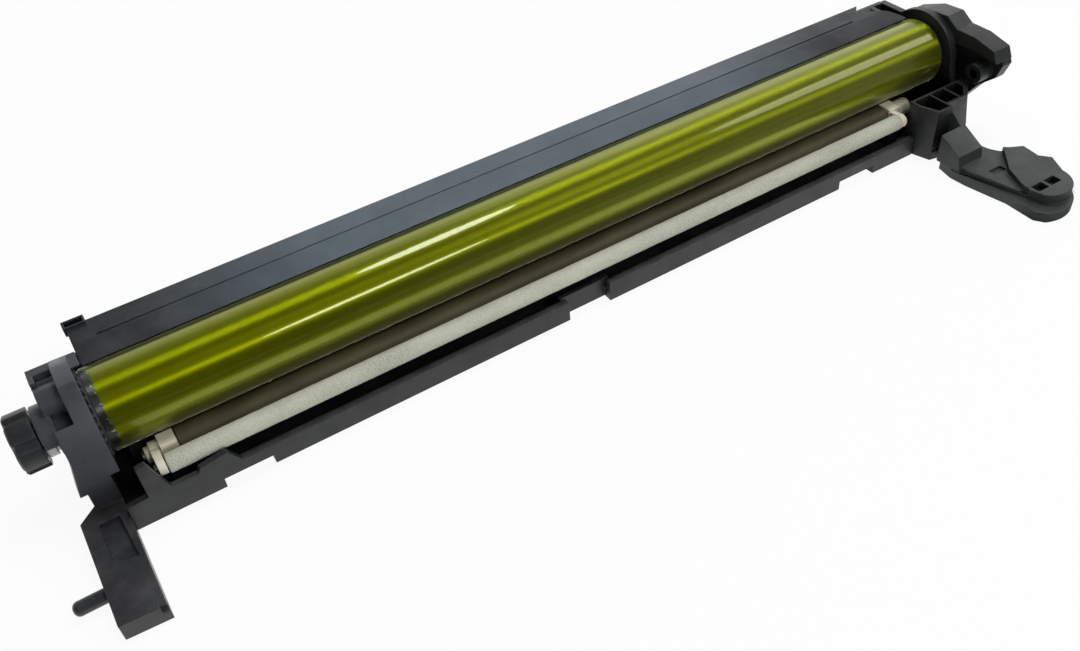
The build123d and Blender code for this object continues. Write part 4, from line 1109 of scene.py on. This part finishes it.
@dataclass
class Studio:
    """Camera, floor, lamps and world.

    Attributes:
        lens: The camera's focal length on a 36 mm wide sensor.
        eye: Where the camera stands, in millimetres.
        ahead: The way the camera looks.
        up: The way that is up in the picture.
        floor_size: The floor's width, in metres.
        floor_middle: Where the floor's middle is along X, in metres.
        floor_drop: How far the floor lies under the unit, in metres.
        sheet_front: How far the pale sheet on the floor reaches to the front, in metres.
        sheet_fade: Over what depth the sheet gives way to the bench, in metres.
        bench_left: The bench's shade at the left.
        bench_right: The bench's shade at the right.
        white_share: How much of the floor is lifted to white for the rays that see it white.
        wall_left: The bright wall's level at the left.
        wall_right: The bright wall's level at the right.
        room_left: The dim room's level at the left.
        room_right: The dim room's level at the right.
    """

    lens: float = 34.77
    eye: tuple = (41.1, -288.6, 245.1)
    ahead: tuple = (0.3511, 0.648, -0.676)
    up: tuple = (0.4073, 0.545, 0.733)
    floor_size: float = 8.0
    floor_middle: float = 0.2
    floor_drop: float = 0.00002
    sheet_front: float = -0.08
    sheet_fade: float = 0.012
    bench_left: tuple = (0.03, 0.03, 0.03, 1.0)
    bench_right: tuple = (0.4, 0.4, 0.4, 1.0)
    white_share: float = 0.93
    wall_left: float = 0.3
    wall_right: float = 1.1
    room_left: float = 0.0
    room_right: float = 0.33

    def build(self) -> None:
        """Builds all of the studio."""
        self.camera()
        self.floor()
        self.world()
        self.lamps()

    def camera(self) -> None:
        """Places the camera at the photograph's viewpoint."""
        data = bpy.data.cameras.new("camera")
        data.lens = self.lens
        data.sensor_width = 36.0
        data.sensor_fit = "HORIZONTAL"
        data.clip_start = 0.01
        camera = bpy.data.objects.new("camera", data)
        bpy.context.scene.collection.objects.link(camera)
        back = -Vector(self.ahead).normalized()
        right = Vector(self.up).cross(back).normalized()
        upward = back.cross(right)
        turn = Matrix((right, upward, back)).transposed().to_4x4()
        camera.matrix_world = Matrix.Translation(Vector(self.eye) * MM) @ turn
        bpy.context.scene.camera = camera

    def floor(self) -> None:
        """Lays a plain pale floor under the unit."""
        mesh = bpy.data.meshes.new("floor")
        shape = bmesh.new()
        bmesh.ops.create_grid(shape, x_segments=1, y_segments=1, size=self.floor_size / 2)
        height = cad_corners[0][2] - self.floor_drop
        bmesh.ops.translate(shape, verts=shape.verts, vec=(self.floor_middle, 0.0, height))
        shape.to_mesh(mesh)
        shape.free()
        floor = bpy.data.objects.new("floor", mesh)
        bpy.context.scene.collection.objects.link(floor)
        mesh.materials.append(self.floor_material())

    def floor_material(self) -> bpy.types.Material:
        """Makes the floor: white, but to gloss a pale sheet that ends on a darker bench in front."""
        material = bpy.data.materials.new("floor_white")
        material.use_nodes = True
        graph = Graph(material.node_tree)
        coordinates = graph.add("ShaderNodeTexCoord")
        axes = graph.add("ShaderNodeSeparateXYZ", {0: coordinates.outputs["Object"]})
        fade_start = self.sheet_front - self.sheet_fade
        sheet = graph.remap(axes.outputs["Y"], fade_start, self.sheet_front, 0.0, 1.0)
        right = graph.remap(axes.outputs["X"], 0.14, 0.42, 0.0, 1.0)
        bench = graph.blend(right, self.bench_left, self.bench_right)
        tone = graph.add("ShaderNodeTexNoise", {"Vector": coordinates.outputs["Object"], "Scale": 3.0})
        white = graph.blend(tone.outputs["Fac"], (0.9, 0.9, 0.9, 1.0), (0.94, 0.94, 0.94, 1.0))
        seen = graph.add("ShaderNodeLightPath")
        camera = seen.outputs["Is Camera Ray"]
        dull = graph.maths("MULTIPLY", seen.outputs["Is Glossy Ray"], graph.maths("SUBTRACT", 1.0, sheet))
        colour = graph.blend(dull, white, bench)
        glossy = graph.maths("MULTIPLY", seen.outputs["Is Glossy Ray"], sheet)
        through = graph.maths("MAXIMUM", glossy, seen.outputs["Is Transmission Ray"])
        shown = graph.maths("MAXIMUM", camera, through)
        shader = graph.add("ShaderNodeBsdfPrincipled", {"Base Color": colour, "Roughness": 0.9})
        glow = graph.add("ShaderNodeEmission", {"Color": WHITE, "Strength": 1.0})
        lifted = graph.add(
            "ShaderNodeMixShader",
            {0: graph.maths("MULTIPLY", shown, self.white_share), 1: shader.outputs[0], 2: glow.outputs[0]},
        )
        output = graph.add("ShaderNodeOutputMaterial")
        graph.link(lifted.outputs[0], output.inputs["Surface"])
        return material

    def world(self) -> None:
        """Lights the unit from a bright wall behind it, with a dim room above and in front."""
        world = bpy.data.worlds.new("studio")
        bpy.context.scene.world = world
        world.use_nodes = True
        graph = Graph(world.node_tree)
        way = graph.add("ShaderNodeTexCoord").outputs["Generated"]
        axes = graph.add("ShaderNodeSeparateXYZ", {0: way})
        height = graph.maths("ARCTAN2", axes.outputs["Z"], axes.outputs["Y"])
        wall_top = graph.remap(axes.outputs["X"], -0.2, 0.5, radians(30), radians(58))
        above = graph.maths("SUBTRACT", height, wall_top)
        wall = graph.remap(above, radians(-22), radians(22), 1.0, 0.0)
        left = graph.remap(axes.outputs["X"], -0.35, 0.5, self.wall_left, self.wall_right)
        room = graph.remap(axes.outputs["X"], 0.15, 0.65, self.room_left, self.room_right)
        level = graph.maths("ADD", graph.maths("MULTIPLY", wall, left), room)
        seen = graph.add("ShaderNodeLightPath").outputs
        clear = graph.maths("MAXIMUM", seen["Is Camera Ray"], seen["Is Transmission Ray"])
        shown = graph.maths("MAXIMUM", clear, graph.maths("MULTIPLY", seen["Is Glossy Ray"], wall))
        strength = graph.maths("MAXIMUM", level, shown)
        background = graph.add("ShaderNodeBackground", {"Color": WHITE, "Strength": strength})
        output = graph.add("ShaderNodeOutputWorld")
        graph.link(background.outputs[0], output.inputs["Surface"])
        bpy.context.scene.view_settings.view_transform = "Standard"

    def lamps(self) -> None:
        """Hangs the soft boxes: place, aim and size in metres, watts, and whether gloss shows it."""
        boxes = {
            "key_box": ((0.3, 0.35, 1.6), (0.2, 0.0, 0.0), (2.2, 0.9), 9.0, False),
            "front_fill": ((0.0, -1.3, 0.3), (0.2, 0.0, 0.0), (1.2, 0.4), 6.0, False),
            "top_strip": ((0.62, 0.26, 1.477), (0.16, 0.0, 0.0), (0.32, 0.42), 6.0, True),
            "front_strip": ((0.48, -1.149, 0.964), (0.13, 0.0, 0.0), (0.44, 0.17), 3.2, True),
            "right_box": ((1.66, -0.61, 1.37), (0.35, 0.0, 0.0), (0.7, 0.62), 5.0, True),
        }
        for name, (place, aim, size, power, glossy) in boxes.items():
            data = bpy.data.lights.new(name, "AREA")
            data.shape = "ELLIPSE"
            data.size, data.size_y = size
            data.energy = power
            lamp = bpy.data.objects.new(name, data)
            bpy.context.scene.collection.objects.link(lamp)
            lamp.visible_glossy = glossy
            away = (Vector(place) - Vector(aim)).normalized()
            side = (Vector((1.0, 0.0, 0.0)) - away * away.x).normalized()
            turn = Matrix((side, away.cross(side), away)).transposed().to_4x4()
            lamp.matrix_world = Matrix.Translation(place) @ turn


def main() -> None:
    """Builds the scene in order."""
    logging.basicConfig(level=logging.INFO, format="%(name)s: %(message)s")
    Studio().build()
    Housing().build()
    Drum().build()
    RollerBay().build()
    WasteChamber().build()
    Screws("cap_screws").build()
    Screws("blade_screws", recess_length=2.6 * MM, recess_depth=0.7 * MM).build()


if __name__ == "__main__":
    main()
